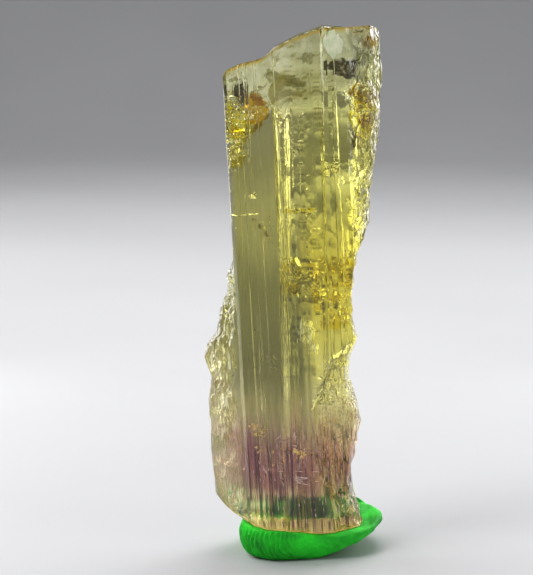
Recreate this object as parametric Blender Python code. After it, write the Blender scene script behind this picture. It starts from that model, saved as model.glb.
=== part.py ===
"""A broken tourmaline crystal, held upright by a pressed pat of modelling putty.

Metres, +Z up, the crystal's clear window face towards -Y. The crystal only stands in the putty, so
nothing moves. Lengths below are in millimetres, and MM turns them into metres.
"""

import math

import bmesh
import bpy
import numpy as np
from mathutils import Vector, noise

MM = 0.001

# Where the crystal's own frame stands: z runs up its length from the broken base.
PLACE = (1.88, -0.39)  # centres the whole part over the origin
LEAN = math.radians(3.2)  # the crystal leans to the left, towards -X
SEAT_HEIGHT = 1.9

# Straight edges of the prism faces (x, y) at EDGE_LEVEL, along the front from left to right.
LEFT_EDGE = -6.5
RIGHT_EDGE = 5.65
EDGE_LEVEL = 40.0
FRONT_EDGES = (
    (LEFT_EDGE, -2.7), (-6.15, -3.35), (-0.78, -4.1), (-0.18, -4.75), (3.05, -4.95), (3.3, -4.65),
    (3.7, -4.75), (RIGHT_EDGE, -4.1),
)
# The same along the back, from right to left. The last wide face is parallel to the front window.
BACK_EDGES = (
    (5.3, 4.1), (3.6, 4.6), (3.3, 5.05), (0.3, 5.1), (-0.9, 4.45), (-1.3, 3.85), (-5.9, 4.5),
    (LEFT_EDGE, 3.8),
)
# The middle edges of the front stand more upright than the crystal: (x, shift per millimetre of height).
EDGE_SLANT = ((-6.15, 0.0), (-0.78, 0.055), (3.3, 0.035), (RIGHT_EDGE, 0.0))
INNER_EDGE = 3.7  # faces right of this edge narrow where the right flank is worn away
SHOULDER = 0.45  # the right flank reaches at least this far beyond the faces beside it

# How far the worn flanks reach sideways at each height (z, x).
LEFT_FLANK = (
    (3.0, -9.9), (7.0, -10.1), (12.0, -10.0), (14.0, -10.15), (16.5, -9.75), (18.7, -10.15), (20.0, -9.9),
    (21.2, -8.95), (23.7, -8.3), (25.5, -7.45), (27.2, -7.2), (28.6, LEFT_EDGE),
)
RIGHT_FLANK = (
    (0.5, 5.4), (3.5, 4.65), (5.8, 4.45), (8.5, 4.9), (11.2, 5.8), (13.0, 5.6), (15.4, 4.8), (17.5, 4.95),
    (20.0, 5.8), (22.0, 5.45), (24.8, 5.5), (27.5, 6.0), (29.9, 6.8), (32.0, 7.6), (34.8, 7.85),
    (38.5, 8.7), (41.5, 9.3), (45.5, 9.55), (47.6, 9.7), (49.0, 9.6), (50.3, 9.8), (52.0, 9.4),
)
LEFT_ROUNDING, RIGHT_ROUNDING = 0.75, 0.8  # the lower, the blunter the flank is seen from above
FLANK_DEPTH = 3.7  # half the depth of the worn right flank
FLANK_TURN = 1.25  # it turns this far (radians) from its extreme to either side
# Height of the top's front rim and of the base's front rim (x, z).
TOP_RIM = (
    (-9.0, 46.6), (-6.5, 47.3), (-6.0, 47.9), (-4.7, 48.4), (-2.4, 48.85), (-1.0, 50.0), (1.2, 51.0),
    (3.7, 51.75), (6.3, 51.4), (8.5, 51.5), (9.8, 51.0),
)
BASE_RIM = (
    (-10.2, 5.3), (-9.5, 4.5), (-8.9, 3.8), (-7.9, 2.9), (-5.9, 1.7), (-4.6, 1.2), (-1.5, 0.85),
    (0.5, 0.6), (2.4, 0.6), (4.0, 0.85), (5.4, 1.1),
)
TOP_LIP = 0.45  # the broken top rises this much just behind its front rim
LIP_RUN = 0.8  # over about this distance
TOP_FALL = 0.10  # and then drops by this much for each millimetre towards the back
TOP_FRONT = -4.9  # y of the top's front rim
BASE_BULGE = 0.6  # the base's middle hangs this far below its rim
BASE_HALF_DEPTH = 4.7

# Flakes have split off the back of the top. Their scars start at this height on the back (x, z).
SCAR_START = ((-6.5, 40.8), (-2.0, 42.0), (1.5, 43.7), (7.5, 45.4), (9.5, 43.6))
SCAR_BACK = 4.6  # they cut back from here
SCAR_SLOPE = 0.5  # by this much for each millimetre of height
SCAR_EDGE = 0.25  # the scars' edges are worn round by about this much
# A shallow break on the lower front, right of the line through these (z, x) points.
BREAK_LINE = ((3.0, 2.2), (9.0, 0.6), (13.5, 0.6), (18.5, 2.9), (20.5, 5.0))
BREAK_DEPTH = 0.75
BREAK_RUN = 0.9  # it reaches its depth this far from the line
BREAK_FADE = 2.0  # and fades out over this much of its height, below the end of the line

# Relief of the broken surfaces: shell-shaped scoops that meet in sharp ridges.
SCOOP_SIZE = 2.6
SCOOP_DEPTH = 0.85
SCOOP_LEVEL = 0.35  # the share of a scoop's depth that lies at the worn surface's own level
SCOOP_STRETCH = 1.5  # the scoops are this much longer along the crystal
WEAR_RUN = 2.0  # the left flank is fully worn this far from the window's edge
BREAK_WEAR = 0.4  # the break is worn less than the flanks
CREST_CALM = 0.7  # how much calmer the flanks are along their extremes than beside them
FACE_WAVE, FACE_WAVE_SIZE = 0.04, 6.0  # how far the grown faces wander from flat, and over what distance

# The mesh.
FACE_POINTS = 21  # columns of points on the front, and as many on the back
FLANK_POINTS = 9  # columns on each worn flank
ROWS = 50  # bands of faces up the crystal
CAP_BANDS = 6  # bands of faces across each broken end, from front to back
RIM_STEPS = 8  # rounds that find where the sides meet an end

# The putty: its widest outline seen from above, anticlockwise from the front left (x, y).
PAT_OUTLINE = (
    (-4.7, -6.8), (-2.2, -6.7), (0.8, -6.0), (3.4, -5.4), (5.4, -4.2), (6.9, -1.7), (7.35, 1.2),
    (6.5, 4.6), (4.0, 7.0), (0.0, 7.7), (-3.8, 6.9), (-6.6, 3.2), (-7.6, -1.4), (-7.0, -5.0),
)
PAT_CENTRE = (-0.4, -0.3)
PAT_THICKNESS = ((-7.5, 3.9), (0.0, 3.0), (7.5, 1.5))  # (x, thickness)
# It stands up behind the crystal: (x, height added to its back).
BACK_RISE = ((-6.8, 0.0), (-4.8, 1.4), (0.0, 1.8), (2.6, 1.7), (5.5, 0.8), (7.0, 0.0))
BACK_START, BACK_END = 1.5, 5.5  # the rise grows between these y
PAT_LIFT = 2.2  # its right lobe curls this far off the table
LIFT_START, LIFT_END = 0.4, 7.5  # between these x
LIFT_BEND = 1.2  # the higher, the later it curls
FOOT_SHARE = 0.80  # share of the pat's radius where its foot is flat
SIDE_SHARE = 0.42  # share of the ball's surface, from its equator to either pole, that becomes the side
PAT_POINTS, PAT_RINGS = 64, 34
SEAT_GAP = 0.3  # between the crystal and the putty pressed round its base
SEAT_REACH = (5.9, 5.4)  # the dent ends this far out to the right, and this far to the front and the back
SEAT_RISE = 0.8  # slope of the putty outside the dent
SEAT_WALL = 2.6  # the same behind the crystal, where the putty stands up against it
DENT_BLEND = 0.7  # the dent's rim is rounded over about this height


def curve(points, at):
    """The second value of (first, second) pairs, interpolated at each given first value."""
    first, second = zip(*points)
    return np.interp(at, first, second)


def waves(points, size, seed):
    """Smooth noise from -1 to 1 at each point, with features of about this size."""
    shift = Vector((seed, 1.7 * seed, -2.3 * seed))
    return np.array([noise.noise(Vector(p) / size + shift) for p in points])


def scoops(points, seed):
    """Depth of shell-shaped scoops, from 0 on the sharp ridges between them to about 1 in their middles."""
    shift = Vector((seed, 1.7 * seed, -2.3 * seed))
    depths = []
    for x, y, z in points:
        nearest = noise.voronoi(Vector((x, y, z / SCOOP_STRETCH)) / SCOOP_SIZE + shift)[0][0]
        depths.append(max(0.0, 1 - nearest * nearest))
    return np.array(depths)


def along(edges, count):
    """This many points along the edges, with one on each corner, the longest stretches divided first."""
    ends = list(zip(edges, edges[1:]))
    pieces = [1] * len(ends)
    while sum(pieces) < count - 1:
        longest = max(range(len(ends)), key=lambda i: math.dist(*ends[i]) / pieces[i])
        pieces[longest] += 1
    found = []
    for ((x0, y0), (x1, y1)), parts in zip(ends, pieces):
        found += [(x0 + (x1 - x0) * i / parts, y0 + (y1 - y0) * i / parts) for i in range(parts)]
    return found + [edges[-1]]


def columns():
    """The columns of points round the crystal from its left extreme, as arrays: kind, x and y.

    On a worn flank x is the share of the flank's reach, because the reach changes with height.
    """
    back, front = BACK_EDGES[-1][1], FRONT_EDGES[0][1]
    left = []
    for share in np.linspace(0, 1, FLANK_POINTS + 2)[1:-1]:
        left.append(("left", math.sin(math.pi * share) ** LEFT_ROUNDING, back + (front - back) * share))
    middle = FLANK_POINTS // 2
    found = left[middle:] + [("face", x, y) for x, y in along(FRONT_EDGES, FACE_POINTS)]
    for turn in np.linspace(-FLANK_TURN, FLANK_TURN, FLANK_POINTS):
        found.append(("right", math.cos(turn) ** RIGHT_ROUNDING, FLANK_DEPTH * math.sin(turn)))
    found += [("face", x, y) for x, y in along(BACK_EDGES, FACE_POINTS)] + left[:middle]
    kinds, x, y = zip(*found)
    return np.array(kinds), np.array(x), np.array(y)


def scar_limit(x, z):
    """How far back the flake scars let the crystal reach at each x and z."""
    return SCAR_BACK - SCAR_SLOPE * (z - curve(SCAR_START, x))


def outline(kinds, x, y, z):
    """The crystal's outline: where each column stands at its own height z."""
    left, right = curve(LEFT_FLANK, z), curve(RIGHT_FLANK, z)
    shoulder = np.minimum(RIGHT_EDGE, right - SHOULDER)
    squeeze = (shoulder - INNER_EDGE) / (RIGHT_EDGE - INNER_EDGE)
    face_x = np.where(y < 0, x + curve(EDGE_SLANT, x) * (z - EDGE_LEVEL), x)
    face_x = np.where(x > INNER_EDGE, INNER_EDGE + (face_x - INNER_EDGE) * squeeze, face_x)
    left_x, right_x = LEFT_EDGE + (left - LEFT_EDGE) * x, shoulder + (right - shoulder) * x
    px = np.where(kinds == "face", face_x, np.where(kinds == "left", left_x, right_x))

    beyond = (px - curve(BREAK_LINE, z)) / BREAK_RUN
    broken = np.clip(beyond, 0, 1) * np.clip((BREAK_LINE[-1][0] - z) / BREAK_FADE, 0, 1) * (y < 0)
    py = y + BREAK_DEPTH * broken

    at = np.stack([px, py, z], axis=1)
    worn = np.where(kinds == "left", (LEFT_EDGE - px) / WEAR_RUN, 1.0) * (1 - CREST_CALM * x ** 3)
    worn = np.clip(np.where(kinds == "face", BREAK_WEAR * broken, worn), 0, 1)
    inward = FACE_WAVE * waves(at, FACE_WAVE_SIZE, 8) + SCOOP_DEPTH * worn * (scoops(at, 3) - SCOOP_LEVEL)
    shrink = 1 - inward / np.hypot(px, py)
    px, py = px * shrink, py * shrink
    over = (py - scar_limit(px, z)) / SCAR_EDGE
    return px, py - SCAR_EDGE * np.logaddexp(over, 0)


def top_height(x, y):
    """The broken top: a low lip along the front, then a fall to the back."""
    behind = np.maximum(y - TOP_FRONT, 0)
    return curve(TOP_RIM, x) + TOP_LIP * (1 - np.exp(-behind / LIP_RUN)) - TOP_FALL * behind


def base_height(x, y):
    """The broken base, bulging downwards along its middle."""
    return curve(BASE_RIM, x) - BASE_BULGE * np.maximum(1 - (y / BASE_HALF_DEPTH) ** 2, 0)


def crystal_rings():
    """Rings of points up the crystal, from the rim of its base to the rim of its top."""
    kinds, x, y = columns()

    def rim(height, z):
        """The ring where the sides meet an end, from a first guess of its heights."""
        for _ in range(RIM_STEPS):
            px, py = outline(kinds, x, y, z)
            z = height(px, py)
        return np.stack([px, py, z], axis=1)

    base = rim(base_height, np.full(len(x), 1.0))
    top = rim(top_height, np.full(len(x), 50.0))
    rings = [base]
    for share in np.linspace(0, 1, ROWS + 1)[1:-1]:
        z = base[:, 2] + (top[:, 2] - base[:, 2]) * share
        rings.append(np.stack([*outline(kinds, x, y, z), z], axis=1))
    return rings + [top]


def close_end(model, loop, height):
    """Close an end with rows of faces that run from the front of its rim to the back.

    The loop starts at the left extreme and has its right extreme half way round.
    """
    half = len(loop) // 2
    rows = [[loop[0]] * (CAP_BANDS + 1)]
    for i in range(1, half):
        front, back = loop[i], loop[-i]
        row = [front]
        for share in np.linspace(0, 1, CAP_BANDS + 1)[1:-1]:
            spot = front.co.lerp(back.co, share)
            row.append(model.verts.new((spot.x, spot.y, height(spot.x, spot.y))))
        rows.append(row + [back])
    rows.append([loop[half]] * (CAP_BANDS + 1))
    for near, far in zip(rows, rows[1:]):
        for i in range(CAP_BANDS):
            corners = dict.fromkeys((near[i], far[i], far[i + 1], near[i + 1]))
            model.faces.new(list(corners))


def crystal_model():
    """A loft through the rings, closed at both ends."""
    model = bmesh.new()
    loops = [[model.verts.new(point) for point in ring] for ring in crystal_rings()]
    for lower, upper in zip(loops, loops[1:]):
        for i in range(len(lower)):
            model.faces.new((lower[i - 1], lower[i], upper[i], upper[i - 1]))
    sides = set(model.faces)
    close_end(model, loops[0], base_height)
    bmesh.ops.reverse_faces(model, faces=[face for face in model.faces if face not in sides])
    close_end(model, loops[-1], top_height)
    return model


def smooth_loop(points, count):
    """A closed curve through the points (Catmull-Rom), as evenly counted points."""
    corners = np.array(points)
    found = []
    for share in np.arange(count) * len(corners) / count:
        i, t = int(share), share % 1
        before, start, end, after = (corners[(i + k) % len(corners)] for k in (-1, 0, 1, 2))
        bend = 2 * before - 5 * start + 4 * end - after
        rest = 3 * (start - end) + after - before
        found.append(start + 0.5 * (t * (end - before) + t * t * bend + t ** 3 * rest))
    return np.array(found)


def seat_height(x, y):
    """Height above the table of the dent that the crystal's leaning base leaves in the putty."""
    right, deep = SEAT_REACH
    inner_x, inner_y = np.minimum(x, right), np.clip(y, -deep, deep)
    outside = np.hypot(x - inner_x, y - inner_y)
    under = base_height(inner_x + SEAT_HEIGHT * math.sin(LEAN), inner_y)
    rests = SEAT_HEIGHT + inner_x * math.sin(LEAN) + under * math.cos(LEAN)
    return rests - SEAT_GAP + SEAT_RISE * outside + (SEAT_WALL - SEAT_RISE) * np.maximum(y - deep, 0)


def putty_model():
    """A ball of putty pressed into a pat: flat foot, rounded side, and a dented top."""
    model = bmesh.new()
    bmesh.ops.create_uvsphere(model, u_segments=PAT_POINTS, v_segments=PAT_RINGS, radius=1)
    rim = smooth_loop(PAT_OUTLINE, PAT_POINTS)
    for vert in model.verts:
        turn = math.atan2(vert.co.y, vert.co.x) / (2 * math.pi) * PAT_POINTS
        rise = math.degrees(math.asin(max(-1.0, min(1.0, vert.co.z)))) / 90
        # The band round the ball's equator becomes the rounded side, the rest the foot and the top.
        flat = max(0.0, (abs(rise) - SIDE_SHARE) / (1 - SIDE_SHARE))
        bend = math.pi / 2 * min(1.0, abs(rise) / SIDE_SHARE)
        reach = FOOT_SHARE * (1 - flat) if flat else FOOT_SHARE + (1 - FOOT_SHARE) * math.cos(bend)
        x, y = np.array(PAT_CENTRE) + (rim[round(turn) % PAT_POINTS] - PAT_CENTRE) * reach
        behind = np.clip((y - BACK_START) / (BACK_END - BACK_START), 0, 1)
        half = (curve(PAT_THICKNESS, x) + curve(BACK_RISE, x) * behind) / 2
        lift = np.clip((x - LIFT_START) / (LIFT_END - LIFT_START), 0, 1)
        height = half + math.copysign(half * math.sin(bend), rise) + PAT_LIFT * lift ** LIFT_BEND
        if rise > 0:
            dent = seat_height(x, y)
            blend = max(0.0, 1 - abs(height - dent) / DENT_BLEND)
            height = min(height, dent) - DENT_BLEND / 4 * blend * blend
        vert.co = Vector((x, y, height))
    return model


def add_object(name, model, material, collection):
    """Turn a bmesh in millimetres into a named object that stands in its place."""
    bmesh.ops.scale(model, vec=Vector((MM, MM, MM)), verts=model.verts)
    mesh = bpy.data.meshes.new(name)
    model.to_mesh(mesh)
    model.free()
    mesh.materials.append(material)
    thing = bpy.data.objects.new(name, mesh)
    thing.location = Vector((*PLACE, 0)) * MM
    collection.objects.link(thing)
    return thing


def material(name, colour, roughness, **sockets):
    """A Principled material."""
    made = bpy.data.materials.new(name)
    made.use_nodes = True
    shader = made.node_tree.nodes["Principled BSDF"]
    shader.inputs["Base Color"].default_value = (*colour, 1)
    shader.inputs["Roughness"].default_value = roughness
    for socket, value in sockets.items():
        shader.inputs[socket.replace("_", " ")].default_value = value
    return made


def main():
    for thing in list(bpy.data.objects):
        bpy.data.objects.remove(thing)
    parts = bpy.data.collections.new("Tourmaline crystal")
    bpy.context.scene.collection.children.link(parts)

    clear = material("Clear tourmaline", (0.72, 0.71, 0.36), 0.05, IOR=1.63, Transmission_Weight=1.0)
    green = material("Green putty", (0.02, 0.62, 0.03), 0.55)

    crystal = add_object("tourmaline_crystal", crystal_model(), clear, parts)
    crystal.location.z = SEAT_HEIGHT * MM
    crystal.rotation_euler.y = -LEAN
    putty = add_object("display_putty", putty_model(), green, parts)
    putty.data.shade_smooth()


main()
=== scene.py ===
"""The looks of the tourmaline crystal and its putty stand: fine surfaces, materials, light and camera."""

import math
import random

import bmesh
import bpy
import numpy as np
from mathutils import Matrix, Vector, noise


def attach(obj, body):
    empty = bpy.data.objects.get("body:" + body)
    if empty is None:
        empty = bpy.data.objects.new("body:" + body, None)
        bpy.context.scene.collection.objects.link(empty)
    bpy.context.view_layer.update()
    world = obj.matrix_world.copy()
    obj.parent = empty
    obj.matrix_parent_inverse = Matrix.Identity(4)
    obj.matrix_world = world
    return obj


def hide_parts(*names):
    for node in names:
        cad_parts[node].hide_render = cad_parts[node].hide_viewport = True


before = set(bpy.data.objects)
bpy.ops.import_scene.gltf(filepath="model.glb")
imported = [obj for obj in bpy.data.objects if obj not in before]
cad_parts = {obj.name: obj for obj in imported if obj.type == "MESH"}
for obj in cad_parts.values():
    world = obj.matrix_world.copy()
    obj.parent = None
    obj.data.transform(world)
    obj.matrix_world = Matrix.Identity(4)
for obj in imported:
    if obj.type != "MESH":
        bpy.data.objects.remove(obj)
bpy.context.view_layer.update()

MM = 0.001

# --------------------------------------
# The crystal's form, as in the CAD model, in millimetres. z runs up its length from its broken base.

PLACE = (1.88, -0.39)  # where the crystal's own frame stands on the table
LEAN = math.radians(3.2)  # towards -X
SEAT_HEIGHT = 1.9

LEFT_EDGE = -6.5
RIGHT_EDGE = 5.65
EDGE_LEVEL = 40.0
# The edges between its front and its back faces, seen from above at EDGE_LEVEL, and how far they slant.
FRONT_EDGES = (
    (LEFT_EDGE, -2.7), (-6.15, -3.35), (-0.78, -4.1), (-0.18, -4.75),
    (3.05, -4.95), (3.3, -4.65), (3.7, -4.75), (RIGHT_EDGE, -4.1),
)
BACK_EDGES = (
    (5.3, 4.1), (3.6, 4.6), (3.3, 5.05), (0.3, 5.1),
    (-0.9, 4.45), (-1.3, 3.85), (-5.9, 4.5), (LEFT_EDGE, 3.8),
)
EDGE_SLANT = ((-6.15, 0.0), (-0.78, 0.055), (3.3, 0.035), (RIGHT_EDGE, 0.0))
# The step beside the window spreads out towards the top: the share of the spread at each x, the heights
# between which it grows, and how far it reaches.
STEP_SPREAD = ((-6.15, 0.0), (-0.78, 1.0), (-0.18, 0.0))
SPREAD_LOW, SPREAD_HIGH, SPREAD_REACH = 43.0, 46.0, 2.2
INNER_EDGE = 3.7  # the edges beyond this x give way where the right flank is waisted
SHOULDER = 0.45  # the right flank reaches at least this far beyond the faces beside it
# The extremes of its two flanks (z, x), then the front rims of its broken top and base (x, z).
LEFT_FLANK = (
    (3.0, -9.9), (7.0, -10.1), (12.0, -10.0), (14.0, -10.15), (16.5, -9.75), (18.7, -10.15), (20.0, -9.9),
    (21.2, -8.95), (23.7, -8.3), (25.5, -7.45), (27.2, -7.2), (28.6, LEFT_EDGE),
)
RIGHT_FLANK = (
    (0.5, 5.4), (3.5, 4.65), (5.8, 4.45), (8.5, 4.9), (11.2, 5.8), (13.0, 5.6), (15.4, 4.8), (17.5, 4.95),
    (20.0, 5.8), (22.0, 5.45), (24.8, 5.5), (27.5, 6.0), (29.9, 6.8), (32.0, 7.6), (34.8, 7.85), (38.5, 8.7),
    (41.5, 9.3), (45.5, 9.55), (47.6, 9.7), (49.0, 9.6), (50.3, 9.8), (52.0, 9.4),
)
TOP_RIM = (
    (-9.0, 46.6), (-6.5, 47.3), (-6.0, 47.9), (-4.7, 48.4), (-2.4, 48.85), (-1.0, 50.0),
    (1.2, 51.0), (3.7, 51.75), (6.3, 51.4), (8.5, 51.5), (9.8, 51.0),
)
BASE_RIM = (
    (-10.2, 5.3), (-9.5, 4.5), (-8.9, 3.8), (-7.9, 2.9), (-5.9, 1.7), (-4.6, 1.2), (-1.5, 0.85),
    (0.5, 0.6), (2.4, 0.6), (4.0, 0.85), (5.4, 1.1),
)
TOP_LIP = 0.45  # the broken top rises this much just behind its front rim
LIP_RUN = 0.8  # over about this distance
TOP_FALL = 0.1  # and then drops by this much for each millimetre towards the back
TOP_FRONT = -4.9  # y of the top's front rim
BASE_BULGE = 0.6  # the base's middle hangs this far below its rim
BASE_HALF_DEPTH = 4.7
# Flakes have split off the back of the top. Their scars start at this height on the back (x, z).
SCAR_START = ((-6.5, 40.8), (-2.0, 42.0), (1.5, 43.7), (7.5, 45.4), (9.5, 43.6))
SCAR_RIM = ((-6.5, 40.8), (-2.3, 41.5), (-0.4, 44.2), (7.2, 45.4), (9.5, 41.5))  # their lower edge in detail
SCAR_BLEND = 3.0  # this edge's detail is gone this far above it
SCAR_BACK = 4.6  # the scars cut back from here
SCAR_SLOPE = 0.5  # by this much for each millimetre of height
SCAR_EDGE = 0.08  # their edges are worn round by about this much
# The lower right of the front is broken from here (z, x).
BREAK_LINE = ((3.0, 2.2), (9.0, 0.6), (13.5, 0.6), (18.5, 2.9), (20.5, 5.0))
BREAK_DEPTH = 0.75  # and lies this much deeper
BREAK_RUN = 0.8  # beyond a slope this wide
BREAK_SUNK = 1.1  # how deep the fibres and flecks lie where the face is broken
LEFT_ROUNDING, RIGHT_ROUNDING = 0.75, 0.8  # the lower, the blunter the flank is seen from above
FLANK_DEPTH = 3.7  # half the depth of the worn right flank
FLANK_TURN = 1.25  # it turns this far (radians) from its extreme to either side
FACE_WAVE, WAVE_SIZE = 0.04, 6.0  # how far every surface wavers, over about this distance

# Broken surfaces: shell-shaped scoops at two scales, (size, depth, stretch along the crystal, seed).
SCOOPS = ((2.6, 0.85, 1.5, 3), (1.05, 0.32, 1.4, 21))
SCAR_SCOOPS = ((3.4, 0.28, 1.1, 52),)
EXTREME_CALM = 0.7  # the larger ones are shallower by this share on the flanks' extremes
BACK_FINE = 0.25  # and the smaller ones have only this share of their depth on the back
# How etched the back's right half is up its height, with calm and rough patches of this size, length for
# their width, and strength. The etching sets in over this stretch of x.
BACK_WEAR = (
    (4.0, 0.3), (13.0, 0.35), (18.0, 0.75), (21.0, 1.0), (27.5, 1.0),
    (30.0, 0.45), (36.0, 0.3), (42.0, 0.35), (46.0, 0.7),
)
PATCH_SIZE, PATCH_LENGTH, PATCH_SHARE = 1.6, 2.2, 0.9
ETCH_START, ETCH_RUN = -1.5, 1.5
LEFT_WEAR_RUN = 1.2  # the left flank is fully worn this far beyond the prism's left edge
BROKEN_WEAR, ETCHED_WEAR = 0.9, 0.7  # how worn the broken lower right and the etched back are
# Crinkled diagonal ridges on the upper left flank: z range, and the ridges' height and size.
CRINKLE = (21.0, 29.0, 0.16, 0.55)
CRINKLE_SLANT, CRINKLE_STRETCH, CRINKLE_FADE = 0.8, 0.35, 1.5
# Below them that flank is calmer by this share, from this z downwards and over this run.
LEFT_CALM = 0.5
CALM_TOP, CALM_RUN = CRINKLE[0] + 2, 3.0
# Growth lines on the prism faces: ridges along the crystal, (period, height).
STRIATIONS = ((1.73, 0.03), (0.91, 0.022), (0.53, 0.016))
FLANK_LINES = 0.3  # how strong they are on the flanks, where 1 is a face
# The smooth window: its right edge and its foot, and how strong they are on it.
WINDOW_EDGE, WINDOW_FOOT, WINDOW_LINES = -0.9, 12.0, 0.25
# Bands of the front where the growth lines are coarse steps: (middle at EDGE_LEVEL, half width).
STEPPED_BANDS = ((-0.5, 0.6), (3.25, 0.3), (4.65, 0.2))
STEPPED = 2.2  # how much stronger they are there

# Chipped patches of the front: (x and z of the middle, half width and half height, how much coarser).
CHIPPED = (
    ((4.3, 24.3), (0.5, 2.6), 2.0), ((1.6, 26.3), (0.6, 1.4), 2.0),
    ((3.9, 17.3), (0.8, 0.7), 2.5), ((4.4, 12.9), (0.4, 0.8), 3.0), ((2.6, 5.5), (2.2, 3.2), 0.8),
)

# The crystal's mesh.
FRONT_POINTS = 82
FLANK_POINTS = 49
ROWS = 236
CAP_BANDS = 34
SHARP_ANGLE = math.radians(28)  # an edge bent by more than this stays sharp
# Brown stain on the broken ends' rims, which along the top rim also paints a golden edge highlight: how far
# it reaches from the top and base edges.
TOP_STAIN_AND_HIGHLIGHT, BASE_STAIN = 0.45, 0.3
CAP_MARKS = (0.3, 0.0, 0.2)  # how worn, scarred and stained the broken ends are inside their rims

# Cracks inside the crystal, each a thin crinkled lens of air: (centre, tilt of its normal from the crystal's
# length and turn of its normal about it in degrees, half length, half width).
CRACKS = (
    ((-4.6, 0.2, 43.6), 55, -95, 1.3, 1.3),
    ((-5.3, -0.9, 44.9), 48, -60, 0.9, 0.8),
    ((-5.2, 0.6, 41.6), 40, -75, 1.0, 1.0),
    ((-5.3, -1.0, 39.8), 55, -50, 0.9, 0.8),
    ((-4.9, -1.0, 33.3), 1, -90, 1.3, 0.45),
    ((-4.1, -1.0, 35.3), 45, -100, 0.45, 0.35),
    ((-0.4, -1.2, 27.2), 52, -80, 0.8, 1.2),
    ((1.9, 0.6, 27.8), 46, -100, 1.3, 1.0),
    ((4.4, -1.2, 27.8), 55, -70, 0.7, 0.6),
    ((4.4, 1.0, 26.1), 48, -95, 0.9, 1.2),
    ((4.2, 0.4, 22.6), 44, -100, 0.9, 1.1),
    ((6.7, 0.0, 43.6), 52, -80, 1.0, 1.2),
    ((7.3, 0.6, 40.9), 60, -120, 0.8, 1.2),
    ((3.9, -0.8, 37.6), 50, -60, 0.7, 0.9),
    ((5.6, 0.4, 34.0), 52, -70, 0.9, 1.0),
)
CRACK_RINGS, CRACK_POINTS = 8, 26
CRACK_GAP = 0.03
# How ragged a crack's rim is and how crinkled it is, at two scales: (amount, fineness).
CRACK_RAGGED = ((0.5, 1.2), (0.3, 4.0))
CRACK_CRINKLE = ((0.22, 1.7), (0.09, 4.4))
CRACK_SADDLE = 0.06  # how much it is bent like a saddle
# Films of iron stain and smoky material inside the crystal: the same values, then the film's colour.
AMBER, GOLD, BROWN = (0.64, 0.41, 0.0), (0.9, 0.78, 0.03), (0.42, 0.33, 0.08)
SMOKE, MIST = (0.12, 0.1, 0.07), (0.5, 0.49, 0.36)
FILMS = (
    ((-3.2, 0.6, 44.0), 76, -88, 1.5, 2.0, AMBER),
    ((-2.8, -0.4, 44.9), 74, -80, 0.9, 0.9, AMBER),
    ((-4.6, 0.3, 42.6), 78, -95, 1.5, 2.2, GOLD),
    ((-5.6, 0.2, 43.0), 78, -95, 0.7, 2.6, GOLD),
    ((-5.4, 0.4, 39.4), 76, -95, 1.1, 1.3, GOLD),
    ((-4.4, -0.2, 45.6), 78, -85, 0.9, 1.5, SMOKE),
    ((6.2, 0.4, 45.1), 76, -90, 1.3, 0.6, AMBER),
    ((7.0, 0.2, 43.2), 78, -95, 0.7, 2.1, AMBER),
    ((6.8, 0.4, 42.2), 78, -95, 1.1, 2.6, GOLD),
    ((5.2, -1.2, 47.6), 76, -85, 1.9, 1.3, SMOKE),
    ((8.0, -0.3, 50.2), 78, -95, 0.7, 0.8, AMBER),
    ((5.9, 0.8, 40.4), 78, -95, 0.5, 1.4, SMOKE),
    ((0.9, 0.3, 33.4), 72, -90, 1.5, 0.35, GOLD),
    ((-4.0, -0.8, 32.8), 78, -92, 0.3, 0.2, BROWN),
    ((-3.4, -0.8, 32.1), 78, -88, 0.26, 0.35, BROWN),
    ((-2.9, -0.8, 31.3), 78, -90, 0.2, 0.35, BROWN),
    ((2.2, -0.6, 48.9), 78, -92, 0.9, 0.8, MIST),
    ((-1.2, -0.4, 47.3), 76, -86, 0.8, 0.7, MIST),
    ((0.9, -0.3, 46.3), 78, -94, 1.1, 0.5, MIST),
    ((-5.2, -0.4, 47.0), 76, -88, 0.6, 0.3, MIST),
    ((7.0, -0.4, 48.4), 76, -92, 0.7, 0.9, MIST),
    ((6.5, -0.4, 44.4), 78, -92, 1.0, 1.1, GOLD),
    ((-0.5, -0.9, 27.0), 78, -88, 0.8, 2.0, GOLD),
    ((2.3, 0.8, 27.4), 76, -95, 1.7, 1.3, GOLD),
    ((4.4, 0.6, 27.0), 78, -85, 0.9, 1.8, GOLD),
    ((2.6, 1.2, 24.4), 76, -90, 1.9, 1.4, GOLD),
    ((3.6, 0.4, 22.0), 76, -95, 1.2, 1.1, GOLD),
)
# A pale patch on the front face: x and z of its middle, tilt, turn, half length and half width, as above.
PALE_PATCH = ((4.65, 50.0), 90, -75, 1.05, 1.4)
PATCH_RISE, PATCH_CRINKLE = 0.06, 0.08  # how far it stands out, and how crinkled it is
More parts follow.
